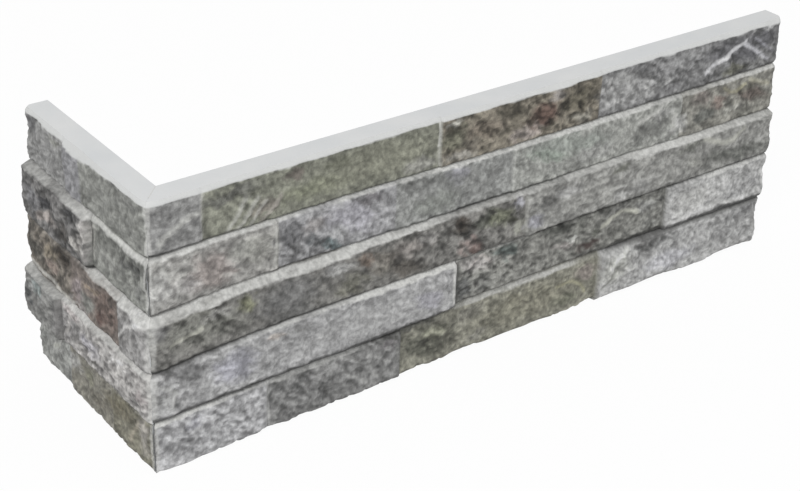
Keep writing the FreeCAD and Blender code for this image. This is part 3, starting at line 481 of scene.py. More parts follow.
def strokes(spot, length, width, *keys, turn=0.0):
    """Grain of split stone in about -1..1: ground stretched to strokes of that length and
    width in millimetres, along the lean of the stone's grain plus a turn, with ground of
    under half that size added at half strength."""
    slant = spot.lean + turn
    along = (spot.run * np.cos(slant) + spot.height * np.sin(slant)) / length
    beside = (spot.height * np.cos(slant) - spot.run * np.sin(slant)) / width
    return ground(along, beside, *keys, 11) + 0.5 * ground(2.1 * along, 2.1 * beside, *keys, 12)


def bed_height(leaf, course, run):
    """Height of the bed joint under a course: level, less the drop towards the corner
    (all along on the short leaf), plus the joint's own wave and a small tremor."""
    if course == COURSES - 1:
        return np.zeros_like(run)
    if course < 0:
        return np.full_like(run, HEIGHT)
    level = sum(COURSE_HEIGHTS[course + 1:])
    drop = np.full_like(run, CORNER_DROPS[course])
    tremor = TREMOR_HEIGHT * ripple(run, TREMOR_RUN, LEAF_NUMBERS[leaf], course, 21)
    tremor *= clamp((run + TOP_THICKNESS + TREMOR_START) / TREMOR_RISE)
    if leaf == "long":
        drop *= np.exp(-np.maximum(0.0, run + TOP_THICKNESS) / DROP_RUN)
    return level - drop + tremor + np.interp(run, *BED_WAVES[leaf][course])


def stone_ends(leaf, course):
    """Runs of the far ends of the stones of a course."""
    return np.array([LEG_RUNS[leaf] if stone[0] is None else stone[0] for stone in STONES[leaf][course]])


def stone_jumps(leaf, course):
    """Upright joints of a course, as pairs of run and change of stand-out."""
    stand_outs = [stone[1] for stone in STONES[leaf][course]]
    return list(zip(stone_ends(leaf, course), np.abs(np.diff(stand_outs))))


def stone_numbers(leaf, course, run):
    """Number of the stone of a course at each run."""
    ends = stone_ends(leaf, course)
    return np.minimum(np.searchsorted(ends, run), len(ends) - 1)


def plain_depth(leaf, course, run):
    """Depth of the stones of a course without relief: course depth and own stand-out,
    less a parabolic fall at the outer corner and a quarter round at the free end."""
    stand_outs = np.array([stone[1] for stone in STONES[leaf][course]])
    depth = COURSE_DEPTHS[course]
    nearness = clamp(1.0 - (run + depth) / CORNER_RUN)
    own = stand_outs[stone_numbers(leaf, course, run)]
    reach = np.clip(run - LEG_RUNS[leaf] + END_ROUND, 0.0, END_ROUND)
    rounding = END_ROUND - np.sqrt(END_ROUND ** 2 - reach ** 2)
    return depth + (1.0 - nearness) * own - CORNER_EASES[course] * nearness ** 2 - rounding


def line_mask(run, height, points, width):
    """How near each place lies to a line through points: one less its distance in widths,
    to the power 0.7."""
    nearest = np.full(run.shape, np.inf)
    for (run1, height1), (run2, height2) in zip(points, points[1:]):
        span = np.array([run2 - run1, height2 - height1], float)
        share = ((run - run1) * span[0] + (height - height1) * span[1]) / (span @ span)
        share = clamp(share)
        away = np.hypot(run - run1 - share * span[0], height - height1 - share * span[1])
        nearest = np.minimum(nearest, away)
    return clamp(1.0 - nearest / width) ** 0.7


def field_mask(run, height, middle_run, middle_height, half_run, half_height, turn=0):
    """How far inside a turned oval each place lies: 1.6 times what its distance from the
    middle, measured in the oval's half sizes, falls short of 1.15, within 0..1."""
    angle = math.radians(turn)
    across, up = run - middle_run, height - middle_height
    along = (across * math.cos(angle) + up * math.sin(angle)) / half_run
    beside = (up * math.cos(angle) - across * math.sin(angle)) / half_height
    return clamp(1.6 * (1.15 - np.hypot(along, beside)))


def bites(run, places):
    """Depth of the bites along an arris: at each place a hump that falls off with the
    fourth power of the distance in half widths."""
    total = np.zeros_like(run)
    for middle, half, bite in places:
        total += bite * np.exp(-((run - middle) / half) ** 4)
    return total


def hex_linear(code):
    """Linear colour of an sRGB hex value."""
    values = np.array([int(code[place:place + 2], 16) for place in (1, 3, 5)]) / 255.0
    return np.where(values <= 0.04045, values / 12.92, ((values + 0.055) / 1.055) ** 2.4)


def wash(under, tint, share):
    """Colours washed over with one linear colour, by the share at each place."""
    share = share[..., None]
    return under * (1 - share) + tint * share


# Relief and print of a course

def course_spots(leaf, course, run, height):
    """Spots of a course at arrays of runs and heights, with their stone, scatter keys,
    plain depth, distances from both bed joints, and the lean of the stone's grain."""
    number = LEAF_NUMBERS[leaf]
    stone = stone_numbers(leaf, course, run)
    low_bed, high_bed = bed_height(leaf, course, run), bed_height(leaf, course - 1, run)
    return SimpleNamespace(
        leaf=leaf, course=course, run=run, height=height, stone=stone,
        number=number, course_key=(number, course), stone_key=(number, course, stone),
        plain=plain_depth(leaf, course, run), low_bed=low_bed, high_bed=high_bed,
        above=height - low_bed, below=high_bed - height,
        lean=np.radians(-33 + 11 * scatter(number, course, stone, 5)))


def shows(spot, height):
    """Whether a field or vein at that height lies on the course of the spots."""
    return np.min(spot.low_bed) - MARK_MARGIN < height < np.max(spot.high_bed) + MARK_MARGIN


def cleft_relief(spot):
    """Cleft of the stones, the same as in the CAD model: a slanting fold wave of ridges
    and a flatter one of benches, over chipped ground, which is blended straight."""
    slant = np.radians(52 + 16 * scatter(*spot.stone_key, 1))
    across = spot.run * np.sin(slant) + spot.height * np.cos(slant)
    ridges = fold(across / CLEFT_PITCH + scatter(*spot.stone_key, 2))
    benches = (0.35 * spot.run - spot.height) / (1.7 * CLEFT_PITCH)
    benches = fold(benches + scatter(*spot.stone_key, 3))
    chips = on_lattice(
        spot.run / CHIP_RUN, spot.height / CHIP_RUN, scatter, lambda share: share, spot.stone_key)
    return CLEFT_HEIGHT * (0.6 * ridges + 0.4 * benches) + CHIP_HEIGHT * chips


def split_grain(spot):
    """Grain and grit of split stone in about -1..1, and the fine relief in millimetres
    that they make together with flakes, which are broader strokes folded at zero."""
    grain = strokes(spot, *GRAIN_STROKE, *spot.stone_key, 5)
    flakes = np.abs(strokes(spot, *FLAKE_STROKE, *spot.stone_key, 6, turn=0.5)) * 1.6 - 0.6
    grit = clouds(spot, GRIT_SIZE, GRIT_SIZE, *spot.stone_key, 7)
    return grain, grit, 0.30 * grain + 0.34 * flakes + 0.16 * grit


def ragged_places(spot):
    """Runs and heights of the spots, moved by strokes of two sizes."""
    run, height = spot.run, spot.height
    for length, width, run_reach, height_reach, key in RAGGED_STROKES:
        run = run + run_reach * strokes(spot, length, width, spot.number, key)
        height = height + height_reach * strokes(spot, length, width, spot.number, key + 1)
    return run, height


def field_and_shadow_print(spot, ragged_run, ragged_height):
    """Colours of the stones, washed over with the colour fields on their course, a few of which are painted
    shadows.
    """
    colours = np.array([hex_linear(stone[2]) for stone in STONES[spot.leaf][spot.course]])
    print_colour = colours[spot.stone]
    for *oval, code, strength in FIELDS_AND_SHADOWS[spot.leaf]:
        if shows(spot, oval[1]):
            tint = hex_linear(code)
            tint = FIELD_COLOUR * tint + (1 - FIELD_COLOUR) * (tint @ np.array(GREY_WEIGHTS))
            inside = field_mask(ragged_run, ragged_height, *oval)
            print_colour = wash(print_colour, tint, strength * inside)
    return print_colour


def vein_and_painted_light_print(spot, print_colour):
    """Print washed over with the veins and with the painted highlights and shadows drawn as
    lines, their share of it, and their rise. Their lines sway by 0.2 mm, and by 0.6 times the rise more."""
    line_share = np.zeros_like(spot.run)
    rise = np.zeros_like(spot.run)
    for points, width, code, strength, lift in VEINS_AND_PAINTED_LIGHT[spot.leaf]:
        if shows(spot, np.mean([point[1] for point in points])):
            sway = 0.2 + 0.6 * lift
            run = spot.run + sway * clouds(spot, 3.0, 3.0, spot.number, 31)
            height = spot.height + sway * clouds(spot, 3.0, 3.0, spot.number, 32)
            mask = line_mask(run, height, points, width)
            print_colour = wash(print_colour, hex_linear(code), strength * mask)
            line_share = np.maximum(line_share, strength * mask)
            rise += lift * mask
    return print_colour, line_share, rise


def print_shade(spot, grain, grit, fine):
    """Light and dark of the print, as the logarithm of its brightness: grain, grit, small
    strokes, clouds of two sizes, pale and dark flecks, and painted shade in the hollows of the fine relief."""
    shade = 0.24 * grain + 0.30 * clouds(spot, 4.5, 3.6, *spot.stone_key, 33)
    shade += 0.14 * grit + 0.22 * strokes(spot, *PRINT_STROKE, *spot.stone_key, 34)
    flecks = clouds(spot, FLECK_SIZE, FLECK_SIZE, *spot.stone_key, 35)
    shade += 0.30 * clamp(flecks - 0.55) - 0.42 * clamp(-flecks - 0.5)
    # Painted shade: darker where the fine relief is hollow
    shade += 0.35 * fine / 0.6 + 0.14 * clouds(spot, 12.0, 8.0, *spot.stone_key, 36)
    return shade


def print_mottle(spot, ledge, ragged_run):
    """Strength of the shade: the stone's own, more or less of it on speckled ground, and
    less on a broad ledge and beside a joint between stones that stand out unlike."""
    mottle = np.array([stone[3] for stone in STONES[spot.leaf][spot.course]])[spot.stone]
    for *oval, share in SPECKLES[spot.leaf]:
        mottle = mottle * (1.0 + share * field_mask(ragged_run, spot.height, *oval))
    for end, jump in stone_jumps(spot.leaf, spot.course):
        mottle = mottle * (1.0 - min(0.95, 0.3 * jump) * np.exp(-((spot.run - end - 0.45) / 1.4) ** 4))
    return mottle * (1.0 - 0.8 * ledge.broad * smooth_step((ledge.end + 0.8 - spot.below) / 1.2))


def worn_and_lit_ledge(spot):
    """Worn upper edge of a course, partly wear and partly a painted highlight on the ledge: its
    start and end below the bed joint, how pale it is, by small patches and level streaks, and
    how broad, which is 1 where it ends 4 mm down or the course stands out 4.5 mm past the one above."""
    runs, shares, starts, ends = np.array(WORN_AND_LIT_EDGES[spot.leaf][spot.course], float).T
    end = np.interp(spot.run, runs, ends)
    step_out = spot.plain - plain_depth(spot.leaf, max(spot.course - 1, 0), spot.run)
    broad = smooth_step(np.maximum((end - 2.4) / 1.6, (step_out - 2.5) / 2.0))
    pale = np.interp(spot.run, runs, shares)
    pale *= 1.0 + (0.30 - 0.15 * broad) * clouds(spot, 3.2, 2.0, *spot.course_key, 43)
    pale *= 1.0 - 0.45 * broad * clamp(clouds(spot, 8.0, 1.2, *spot.course_key, 44))
    return SimpleNamespace(start=np.interp(spot.run, runs, starts), end=end, broad=broad, pale=pale)


def bed_floor(spot, neighbour):
    """Depth of the floor of the bed joint towards a neighbouring course, or, where there
    is none, of the foot or head arris."""
    if not 0 <= neighbour < COURSES:
        return spot.plain - ARRIS_FALL
    return np.minimum(spot.plain, plain_depth(spot.leaf, neighbour, spot.run)) - JOINT_DEPTH


def course_edges(spot, ledge):
    """Foot and head of a course: how far the rounded foot and the eased head reach, how
    much painted shade the foot gets, the floors of both bed joints, and the shares of the way
    from them up to the face, on a quarter circle at the foot, nearly straight at the head and bites."""
    foot_bites = head_bites = np.zeros_like(spot.run)
    foot_depth_and_shade = np.full_like(spot.run, 0.5)
    if spot.course == 0:
        head_bites = bites(spot.run, HEAD_BITES[spot.leaf])
    if spot.course < COURSES - 1:
        foot_depth_and_shade = np.interp(spot.run, *FOOT_DEPTH_AND_SHADE[spot.leaf][spot.course])
    else:
        crumbs = ripple(spot.run, CRUMB_RUN, spot.number, 51)
        foot_bites = bites(spot.run, FOOT_BITES[spot.leaf]) + 0.8 * clamp(crumbs)
    wear = ripple(spot.run, WEAR_RUN, *spot.course_key, 41)
    slow_wear = ripple(spot.run, SLOW_WEAR_RUN, *spot.course_key, 42)
    ease = ledge.end * (1.0 + 0.06 * slow_wear + 0.16 * (1.0 - ledge.broad) * wear) + head_bites
    lip = (0.45 + 0.55 * foot_depth_and_shade) * FOOT_LIPS[spot.course] * (1.0 + 0.08 * wear)
    lip = lip + np.maximum(foot_bites, 0.0)
    low = clamp(spot.above / lip)
    bitten = clamp(foot_bites / 1.5)
    return SimpleNamespace(
        head_bites=head_bites, ease=ease, lip=lip, foot_depth_and_shade=foot_depth_and_shade,
        foot_floor=bed_floor(spot, spot.course + 1) - foot_bites,
        head_floor=bed_floor(spot, spot.course - 1) - 0.3 * head_bites,
        foot_share=(1.0 - bitten) * np.sqrt(1.0 - (1.0 - low) ** 2) + bitten * low,
        head_share=clamp(spot.below / ease) ** 0.9)


def upright_joints(spot, cleft):
    """Upright joints: their floor, from half the joint depth behind the lower stone up to
    the face at the edges, how open they are, and the same fading towards the edges."""
    floor = np.full_like(spot.run, np.inf)
    opened = np.zeros_like(spot.run)
    share = np.zeros_like(spot.run)
    for end, opening in zip(stone_ends(spot.leaf, spot.course), OPEN_JOINTS[spot.leaf][spot.course]):
        sides = plain_depth(spot.leaf, spot.course, np.array([end - 1.0, end + 1.0]))
        bottom = np.min(sides) - JOINT_DEPTH / 2
        away = np.abs(spot.run - end) / (JOINT_WIDTH / 2)
        floor = np.where(away < 1.0, bottom + (spot.plain + cleft - bottom) * away, floor)
        opened = np.where(away < 1.0, opening, opened)
        share = np.maximum(share, opening * clamp(1.0 - away))
    return floor, opened, share


def relief_shares(spot, ledge, edges):
    """Shares of all relief near the foot of the panel, and of the cleft and the fine
    relief towards the edges and beside the upright joints."""
    edge_share = np.minimum(1.0, 1.3 * edges.foot_share * edges.head_share)
    cleft_share = 0.3 + 0.7 * smooth_step(np.minimum(spot.above, spot.below) / CALM_HEIGHT)
    past_ledge = smooth_step((spot.below - (0.55 + 0.4 * ledge.broad) * edges.ease) / 2.6)
    fine_share = np.minimum(0.2 + 0.8 * edge_share, past_ledge)
    for end, jump in stone_jumps(spot.leaf, spot.course):
        near_joint = min(1.0, 0.4 + 0.25 * jump) * np.exp(-((spot.run - end) / 2.4) ** 2)
        cleft_share = cleft_share * (1.0 - 0.9 * near_joint)
        fine_share = fine_share * (1.0 - 0.95 * near_joint)
    near_foot = 1.0
    if spot.course == COURSES - 1:
        near_foot = 0.35 + 0.65 * smooth_step(spot.above / CALM_HEIGHT)
    return near_foot, cleft_share, fine_share


def worn_and_lit_print(spot, ledge, edges, print_colour, ragged):
    """Print with its worn, paler upper edge, which is partly a painted highlight on the ledge,
    and its paler outer arris, and on the top course with the bare body above it, and the
    shares of wear and painted highlight and of bare body."""
    out = spot.run + spot.plain
    pale = ledge.pale * soft_edge(edges.ease - spot.below, 0.7, ragged)
    pale = pale * soft_edge(spot.below - ledge.start, 0.6)
    paleness, reach, softness = CORNER_WEAR[spot.course]
    corner = paleness * smooth_step((reach - out) / softness)
    if spot.course == WORN_CORNER_COURSE:
        paleness, reach, softness = WORN_CORNER
        near_arris, near_head = (reach - out) / softness, (reach - spot.below) / softness
        corner = np.maximum(corner, paleness * smooth_step(near_arris) * smooth_step(near_head))
    pale = clamp(np.maximum(pale, corner))
    # Paler worn edge, partly a painted highlight on the ledges
    print_colour = wash(print_colour, hex_linear(WORN_AND_LIT_EDGE_COLOUR), pale)
    bare = np.zeros_like(pale)
    if spot.course == 0:
        bare_height = BARE_EDGE_HEIGHT + 0.9 * edges.head_bites
        bare = soft_edge(bare_height - spot.below, 0.9, 0.3 * ragged)
        print_colour = wash(print_colour, hex_linear(BARE_EDGE_COLOUR), bare)
    return print_colour, pale, bare


def painted_joint_shade(spot, edges, joint_share):
    """Painted shade in the joints: in the upright ones, on the rounded foot, on the line under
    the course above, and in the open seam at the outer arris."""
    dark = 0.6 * joint_share
    if spot.course < COURSES - 1:
        foot = (0.15 + 0.72 * edges.foot_depth_and_shade) * soft_edge(0.8 * edges.lip - spot.above, 0.45 * edges.lip)
    else:
        foot = 0.1 * smooth_step(1.4 - spot.above)
    dark = np.maximum(dark, foot)
    if spot.course > 0:
        above = np.interp(spot.run, *FOOT_DEPTH_AND_SHADE[spot.leaf][spot.course - 1])
        dark = np.maximum(dark, (0.2 + 0.7 * above) * soft_edge(0.25 + 0.45 * above - spot.below, 0.4))
    # Painted shade in the open seam at the outer arris
    if spot.course in SEAM_COURSES:
        dark = np.maximum(dark, 0.8 * soft_edge(0.9 - (spot.run + spot.plain), 0.5))
    return dark


def course_relief(leaf, course, run, height):
    """Depth and print of one course at arrays of runs and heights, the print as colour
    and share of printed grain.

    The depth is the plain depth, plus the cleft, the fine relief and the rise of the
    veins, each by its share, and runs down to the floors of the upright and bed joints.
    The print is the stone's colour under its fields and veins, some of which are painted
    shadows and highlights, made lighter or darker by its shade, then paler where it is worn
    or carries a painted highlight on a ledge, and darker with painted shade in the joints."""
    spot = course_spots(leaf, course, run, height)
    cleft = cleft_relief(spot)
    grain, grit, fine = split_grain(spot)
    ledge = worn_and_lit_ledge(spot)
    edges = course_edges(spot, ledge)
    ragged_run, ragged_height = ragged_places(spot)
    print_colour = field_and_shadow_print(spot, ragged_run, ragged_height)
    print_colour, line_share, rise = vein_and_painted_light_print(spot, print_colour)
    shade = print_mottle(spot, ledge, ragged_run) * print_shade(spot, grain, grit, fine)
    shade = shade * (1 - 0.8 * line_share)
    tone = np.exp(np.where(shade > 0.0, 0.5 * np.tanh(shade / 0.5), shade))
    print_colour = print_colour * tone[..., None]

    joint_floor, joint_open, joint_share = upright_joints(spot, cleft)
    near_foot, cleft_share, fine_share = relief_shares(spot, ledge, edges)
    fine = fine * (1.0 - 0.6 * line_share)
    face = spot.plain + cleft * near_foot * cleft_share + (fine + rise) * fine_share * near_foot
    depth = face - joint_open * (face - np.minimum(face, joint_floor + fine * 0.5))
    depth = edges.foot_floor + (depth - edges.foot_floor) * edges.foot_share
    eased = edges.head_floor + (depth - edges.head_floor) * edges.head_share
    depth = np.where(spot.below < edges.ease, eased, depth)

    ragged = 0.2 * grain + 0.15 * grit
    print_colour, pale, bare = worn_and_lit_print(spot, ledge, edges, print_colour, ragged)
    grain_share = (1.0 - 0.3 * pale) * (1.0 - 0.5 * line_share) * (1 - bare)
    # Painted shade in the joints, on the feet and on the heads under the courses above
    print_colour = wash(print_colour, hex_linear(JOINT_SHADE_COLOUR), painted_joint_shade(spot, edges, joint_share))
    return depth, np.concatenate([np.clip(print_colour, *PRINT_RANGE), grain_share[..., None]], axis=-1)


# Grid of a leaf's front

FACE_STEP = 0.95
FOOT_STEPS = (0.0, 0.35, 0.8, 1.3)
HEAD_STEPS = (3.4, 2.7, 2.0, 1.3, 0.7)
END_STEPS = (0.0, 0.1, 0.4, 1.0)
CORNER_STEPS = 9
CORNER_ROUNDS = 3
LEAST_STEP = 0.3
# How far the front stays behind the box of the CAD model, and the step in the mitre
# between its bonded part and the seam
BOX_MARGIN = 0.02
SEAM_STEP = 0.2


def grid_runs(leaf):
    """Runs of the grid columns past the corner zone: both edges and the middle of each
    upright joint, the free end and its rounding, and even steps in between."""
    half = JOINT_WIDTH / 2
    length = LEG_RUNS[leaf]
    fixed = {length - step * END_ROUND for step in END_STEPS}
    for course in range(COURSES):
        for end in stone_ends(leaf, course)[:-1]:
            fixed.update((end - half, end, end + half))
    runs = [-PLATE_THICKNESS]
    for run in sorted(fixed):
        gap = run - runs[-1]
        if gap < LEAST_STEP and run != length:
            continue
        steps = max(1, math.ceil(gap / FACE_STEP))
        start = runs[-1]
        runs.extend(start + gap * step / steps for step in range(1, steps + 1))
    return np.array(runs)


def grid_rows(leaf):
    """Rows of the grid from the foot up, as (course, part, place): the place is in
    millimetres above the bed joint below for the foot, below the one above for the head,
    and a share of the way between them for the face."""
    rows = []
    for course in reversed(range(COURSES)):
        face = COURSE_HEIGHTS[course] - FOOT_STEPS[-1] - HEAD_STEPS[0]
        count = round(face / FACE_STEP)
        rows.extend((course, "foot", step) for step in FOOT_STEPS)
        rows.extend((course, "face", place / count) for place in range(1, count))
        rows.extend((course, "head", step) for step in HEAD_STEPS)
    rows.append((0, "head", 0.0))
    return rows


def row_height(leaf, row, run):
    """Height of a grid row at each run, between the bed joints of its course."""
    course, part, place = row
    low, high = bed_height(leaf, course, run), bed_height(leaf, course - 1, run)
    if part == "foot":
        return low + place
    if part == "head":
        return high - place
    return low + FOOT_STEPS[-1] + place * (high - HEAD_STEPS[0] - low - FOOT_STEPS[-1])


def leaf_front(leaf):
    """Front grid of a leaf as arrays of run, height, depth and print. Columns run from
    the mitre to the free end, and rows from the foot to the head. The first column is the
    arris, where run and depth are bound together, so its run is found by three rounds of
    run = front shift - depth. The front shift is half the open seam there."""
    runs = grid_runs(leaf)
    rows = grid_rows(leaf)
    courses = np.array([row[0] for row in rows])
    mitre_runs = np.array([1.0 - COURSE_DEPTHS[course] for course in courses])
    for _ in range(CORNER_ROUNDS):
        for course in range(COURSES):
            chosen = np.flatnonzero(courses == course)
            run = mitre_runs[chosen]
            height = np.array([row_height(leaf, rows[place], run[:1])[0] for place in chosen])
            mitre_runs[chosen] = FRONT_SHIFTS[course] - course_relief(leaf, course, run, height)[0]
    shares = np.arange(CORNER_STEPS) / CORNER_STEPS
    corner = mitre_runs[:, None] + (runs[0] - mitre_runs[:, None]) * shares[None, :]
    run = np.hstack([corner, np.tile(runs, (len(rows), 1))])
    height = np.vstack([row_height(leaf, row, run[place]) for place, row in enumerate(rows)])
    depth = np.zeros_like(run)
    stone_print = np.zeros(run.shape + (4,))
    for course in range(COURSES):
        chosen = courses == course
        depth[chosen], stone_print[chosen] = course_relief(leaf, course, run[chosen], height[chosen])
    depth[:, 0] = np.array(FRONT_SHIFTS)[courses] - run[:, 0]
    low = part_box(f"{leaf}_leaf")[0]
    reach = -low.y / METRE if leaf == "long" else -low.x / METRE
    return run, height, np.minimum(depth, reach - BOX_MARGIN), stone_print


# Meshes of the leaves

def rear_profile():
    """Heights and depths of the rear face from the foot to the head: level channels."""
    profile = [(0.0, 0.0)]
    for place in range(int(HEIGHT // CHANNEL_PITCH)):
        low = (place + 0.5) * CHANNEL_PITCH - CHANNEL_WIDTH / 2
        high = low + CHANNEL_WIDTH
        profile += [(low, 0.0), (low, CHANNEL_DEPTH), (high, CHANNEL_DEPTH), (high, 0.0)]
    profile.append((HEIGHT, 0.0))
    return np.array(profile)


def leaf_points(leaf, run, height, depth):
    """Points of a leaf in metres: its front grid, the rear profile at the mitre and at
    the free end, and in each row the bonded part's front edge and the seam's inner one."""
    heights, depths = rear_profile().T
    rear_mitre = np.c_[MITRE_SHIFT - depths, depths, heights]
    rear_end = np.c_[np.full(len(depths), LEG_RUNS[leaf]), depths, heights]
    front = np.c_[run.ravel(), depth.ravel(), height.ravel()]
    shifts = run[:, 0] + depth[:, 0]
    full = np.ones(len(run))
    bond = np.c_[full * (MITRE_SHIFT - BOND_DEPTH), full * BOND_DEPTH, height[:, 0]]
    inner = np.c_[shifts - BOND_DEPTH - SEAM_STEP, full * (BOND_DEPTH + SEAM_STEP), height[:, 0]]
    places = np.vstack([front, rear_mitre, rear_end, bond, inner])
    if leaf == "long":
        return np.c_[places[:, 0], -places[:, 1], places[:, 2]] * METRE
    return np.c_[-places[:, 1], places[:, 0], places[:, 2]] * METRE


def between(near, far):
    """Quads between two lines of point numbers."""
    return np.stack([near[:-1], far[:-1], far[1:], near[1:]], -1).reshape(-1, 4)


def leaf_faces(leaf, row_count, column_count, rear_count):
    """Faces of a leaf as lists of point numbers, and how many make its front: the front's
    quads, strips of the rear profile, the step and lips of the seam, and a plane face each
    for the head, the foot, the free end and the mitre."""
    index = np.arange(row_count * column_count).reshape(row_count, column_count)
    mitre = index.size + np.arange(rear_count)
    end = mitre + rear_count
    bond = end[-1] + 1 + np.arange(row_count)
    inner = bond + row_count
    quads = between(index[:, :-1], index[:, 1:])
    rear = np.stack([mitre[:-1], mitre[1:], end[1:], end[:-1]], -1)
    faces = np.vstack([quads, rear, between(bond, inner), between(inner, index[:, 0])]).tolist()
    head = [*index[-1], end[-1], mitre[-1], bond[-1], inner[-1]]
    foot = [*index[0, ::-1], inner[0], bond[0], mitre[0], end[0]]
    planes = (head, foot, [*end, *index[::-1, -1]], [*mitre[::-1], *bond])
    faces += [[int(point) for point in face] for face in planes]
    if leaf == "short":
        faces = [face[::-1] for face in faces]
    return faces, len(quads)


def sharpen(mesh, kinds):
    """Keeps the edges sharp where a face of kind 0 meets one of kind 1."""
    loop_edges = np.zeros(len(mesh.loops), np.int32)
    mesh.loops.foreach_get("edge_index", loop_edges)
    loop_totals = np.zeros(len(kinds), np.int32)
    mesh.polygons.foreach_get("loop_total", loop_totals)
    loop_kinds = np.repeat(kinds, loop_totals)
    fronts, bodies = [
        np.bincount(loop_edges, weights=loop_kinds == kind, minlength=len(mesh.edges)) for kind in (0, 1)]
    mesh.edges.foreach_set("use_edge_sharp", (fronts > 0) & (bodies > 0))


def leaf_mesh(leaf, face_material, body_material):
    """Closed mesh of a leaf. The front is smooth, printed and of the face material, and
    the rest is flat and of the body's."""
    run, height, depth, stone_print = leaf_front(leaf)
    points = leaf_points(leaf, run, height, depth)
    faces, front_count = leaf_faces(leaf, *run.shape, len(rear_profile()))
    mesh = bpy.data.meshes.new(f"{leaf}_leaf_stoneware")
    mesh.from_pydata(points.tolist(), [], faces)
    mesh.materials.append(face_material)
    mesh.materials.append(body_material)
    kinds = np.ones(len(faces), np.int32)
    kinds[:front_count] = 0
    mesh.polygons.foreach_set("material_index", kinds)
    mesh.polygons.foreach_set("use_smooth", kinds == 0)
    sharpen(mesh, kinds)

    colours = np.tile(np.append(hex_linear(BODY_COLOUR), 1.0), (len(points), 1))
    colours[:run.size] = stone_print.reshape(-1, 4)
    layer = mesh.color_attributes.new("stone_print", "FLOAT_COLOR", "POINT")
    layer.data.foreach_set("color", colours.ravel())
    mesh.update()
    piece = bpy.data.objects.new(f"{leaf}_leaf_stoneware", mesh)
    bpy.context.scene.collection.objects.link(piece)
    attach(piece, "root")
    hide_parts(f"{leaf}_leaf")


# Materials

WHITE = (1.0, 1.0, 1.0, 1.0)
# Widths of the lumps of each pattern in millimetres: grain and grit of the print, clouds
# and pores of the body, and lumps of the adhesive
PRINT_GRAIN = 1000 / 430
PRINT_GRIT = 1000 / 1400
BODY_CLOUD = 25.0
BODY_PORE = 1.0
EPOXY_LUMP = 2.0


def add(tree, kind, inputs=None, **settings):
    """Adds a node. Settings are its own properties, and inputs gives for each socket a
    value or the output that is linked to it."""
    node = tree.nodes.new(kind)
    for name, value in settings.items():
        setattr(node, name, value)
    for socket, value in (inputs or {}).items():
        if isinstance(value, bpy.types.NodeSocket):
            tree.links.new(value, node.inputs[socket])
        else:
            node.inputs[socket].default_value = value
    return node


def new_material(name):
    """Empty material with its node tree."""
    material = bpy.data.materials.new(name)
    material.use_nodes = True
    material.node_tree.nodes.clear()
    return material, material.node_tree


def colour(code):
    """Linear colour with alpha for a node socket."""
    return (*hex_linear(code), 1.0)


def printed_stoneware():
    """Porcelain stoneware, pressed in a split-stone mould, printed and fired matt. The
    print carries the stone colours, and the eye sees a dry, faintly sparkling grain of
    0.6 to 2.3 mm with hardly any gloss."""
    material, tree = new_material("porcelain_stoneware_pressed_printed_matt")
    place = add(tree, "ShaderNodeTexCoord").outputs["Object"]
    stone_print = add(tree, "ShaderNodeAttribute", attribute_name="stone_print").outputs
    grain = add(tree, "ShaderNodeTexNoise", {
        "Vector": place, "Scale": 1000 / PRINT_GRAIN, "Detail": 2.6, "Roughness": 0.6}).outputs["Fac"]
    grit = add(tree, "ShaderNodeTexNoise", {
        "Vector": place, "Scale": 1000 / PRINT_GRIT, "Detail": 2.0, "Roughness": 0.6}).outputs["Fac"]
    tone = add(tree, "ShaderNodeMapRange", {
        "Value": grain, "From Min": 0.36, "From Max": 0.64, "To Min": 0.78, "To Max": 1.24})
    share = add(tree, "ShaderNodeMix", {
        "Factor": stone_print["Alpha"], "A": 1.0, "B": tone.outputs["Result"]})
    speckled = add(tree, "ShaderNodeVectorMath", {
        0: stone_print["Color"], 1: share.outputs["Result"]}, operation="MULTIPLY")
    bump = add(tree, "ShaderNodeBump", {"Height": grain, "Strength": 0.7, "Distance": 0.0004})
    bump_grit = add(tree, "ShaderNodeBump", {
        "Height": grit, "Strength": 0.4, "Distance": 0.0002, "Normal": bump.outputs["Normal"]})
    dryness = add(tree, "ShaderNodeMapRange", {
        "Value": grit, "From Min": 0.3, "From Max": 0.7, "To Min": 0.62, "To Max": 0.85})
    shader = add(tree, "ShaderNodeBsdfPrincipled", {
        "Base Color": speckled.outputs["Vector"], "Roughness": dryness.outputs["Result"],
        "IOR": 1.45, "Specular IOR Level": 0.3, "Normal": bump_grit.outputs["Normal"]})
    add(tree, "ShaderNodeOutputMaterial", {"Surface": shader.outputs["BSDF"]})
    return material


def pressed_body():
    """Unglazed porcelain stoneware body, dry pressed and sawn. The eye sees an even pale
    grey with faint clouds of about 25 mm and fine pores of about 1 mm, and no gloss."""
    material, tree = new_material("porcelain_stoneware_pressed_body")
    place = add(tree, "ShaderNodeTexCoord").outputs["Object"]
    haze = add(tree, "ShaderNodeTexNoise", {"Vector": place, "Scale": 1000 / BODY_CLOUD, "Detail": 3.0})
    body = add(tree, "ShaderNodeMix", {
        "Factor": haze.outputs["Fac"], "A": colour("#CACDCF"), "B": colour("#DCDCDB")},
        data_type="RGBA")
    pores = add(tree, "ShaderNodeTexNoise", {"Vector": place, "Scale": 1000 / BODY_PORE, "Detail": 2.0})
    bump = add(tree, "ShaderNodeBump", {"Height": pores.outputs["Fac"], "Strength": 0.3, "Distance": 0.0002})
    shader = add(tree, "ShaderNodeBsdfPrincipled", {
        "Base Color": body.outputs["Result"], "Roughness": 0.85, "IOR": 1.45,
        "Specular IOR Level": 0.25, "Normal": bump.outputs["Normal"]})
    add(tree, "ShaderNodeOutputMaterial", {"Surface": shader.outputs["BSDF"]})
    return material


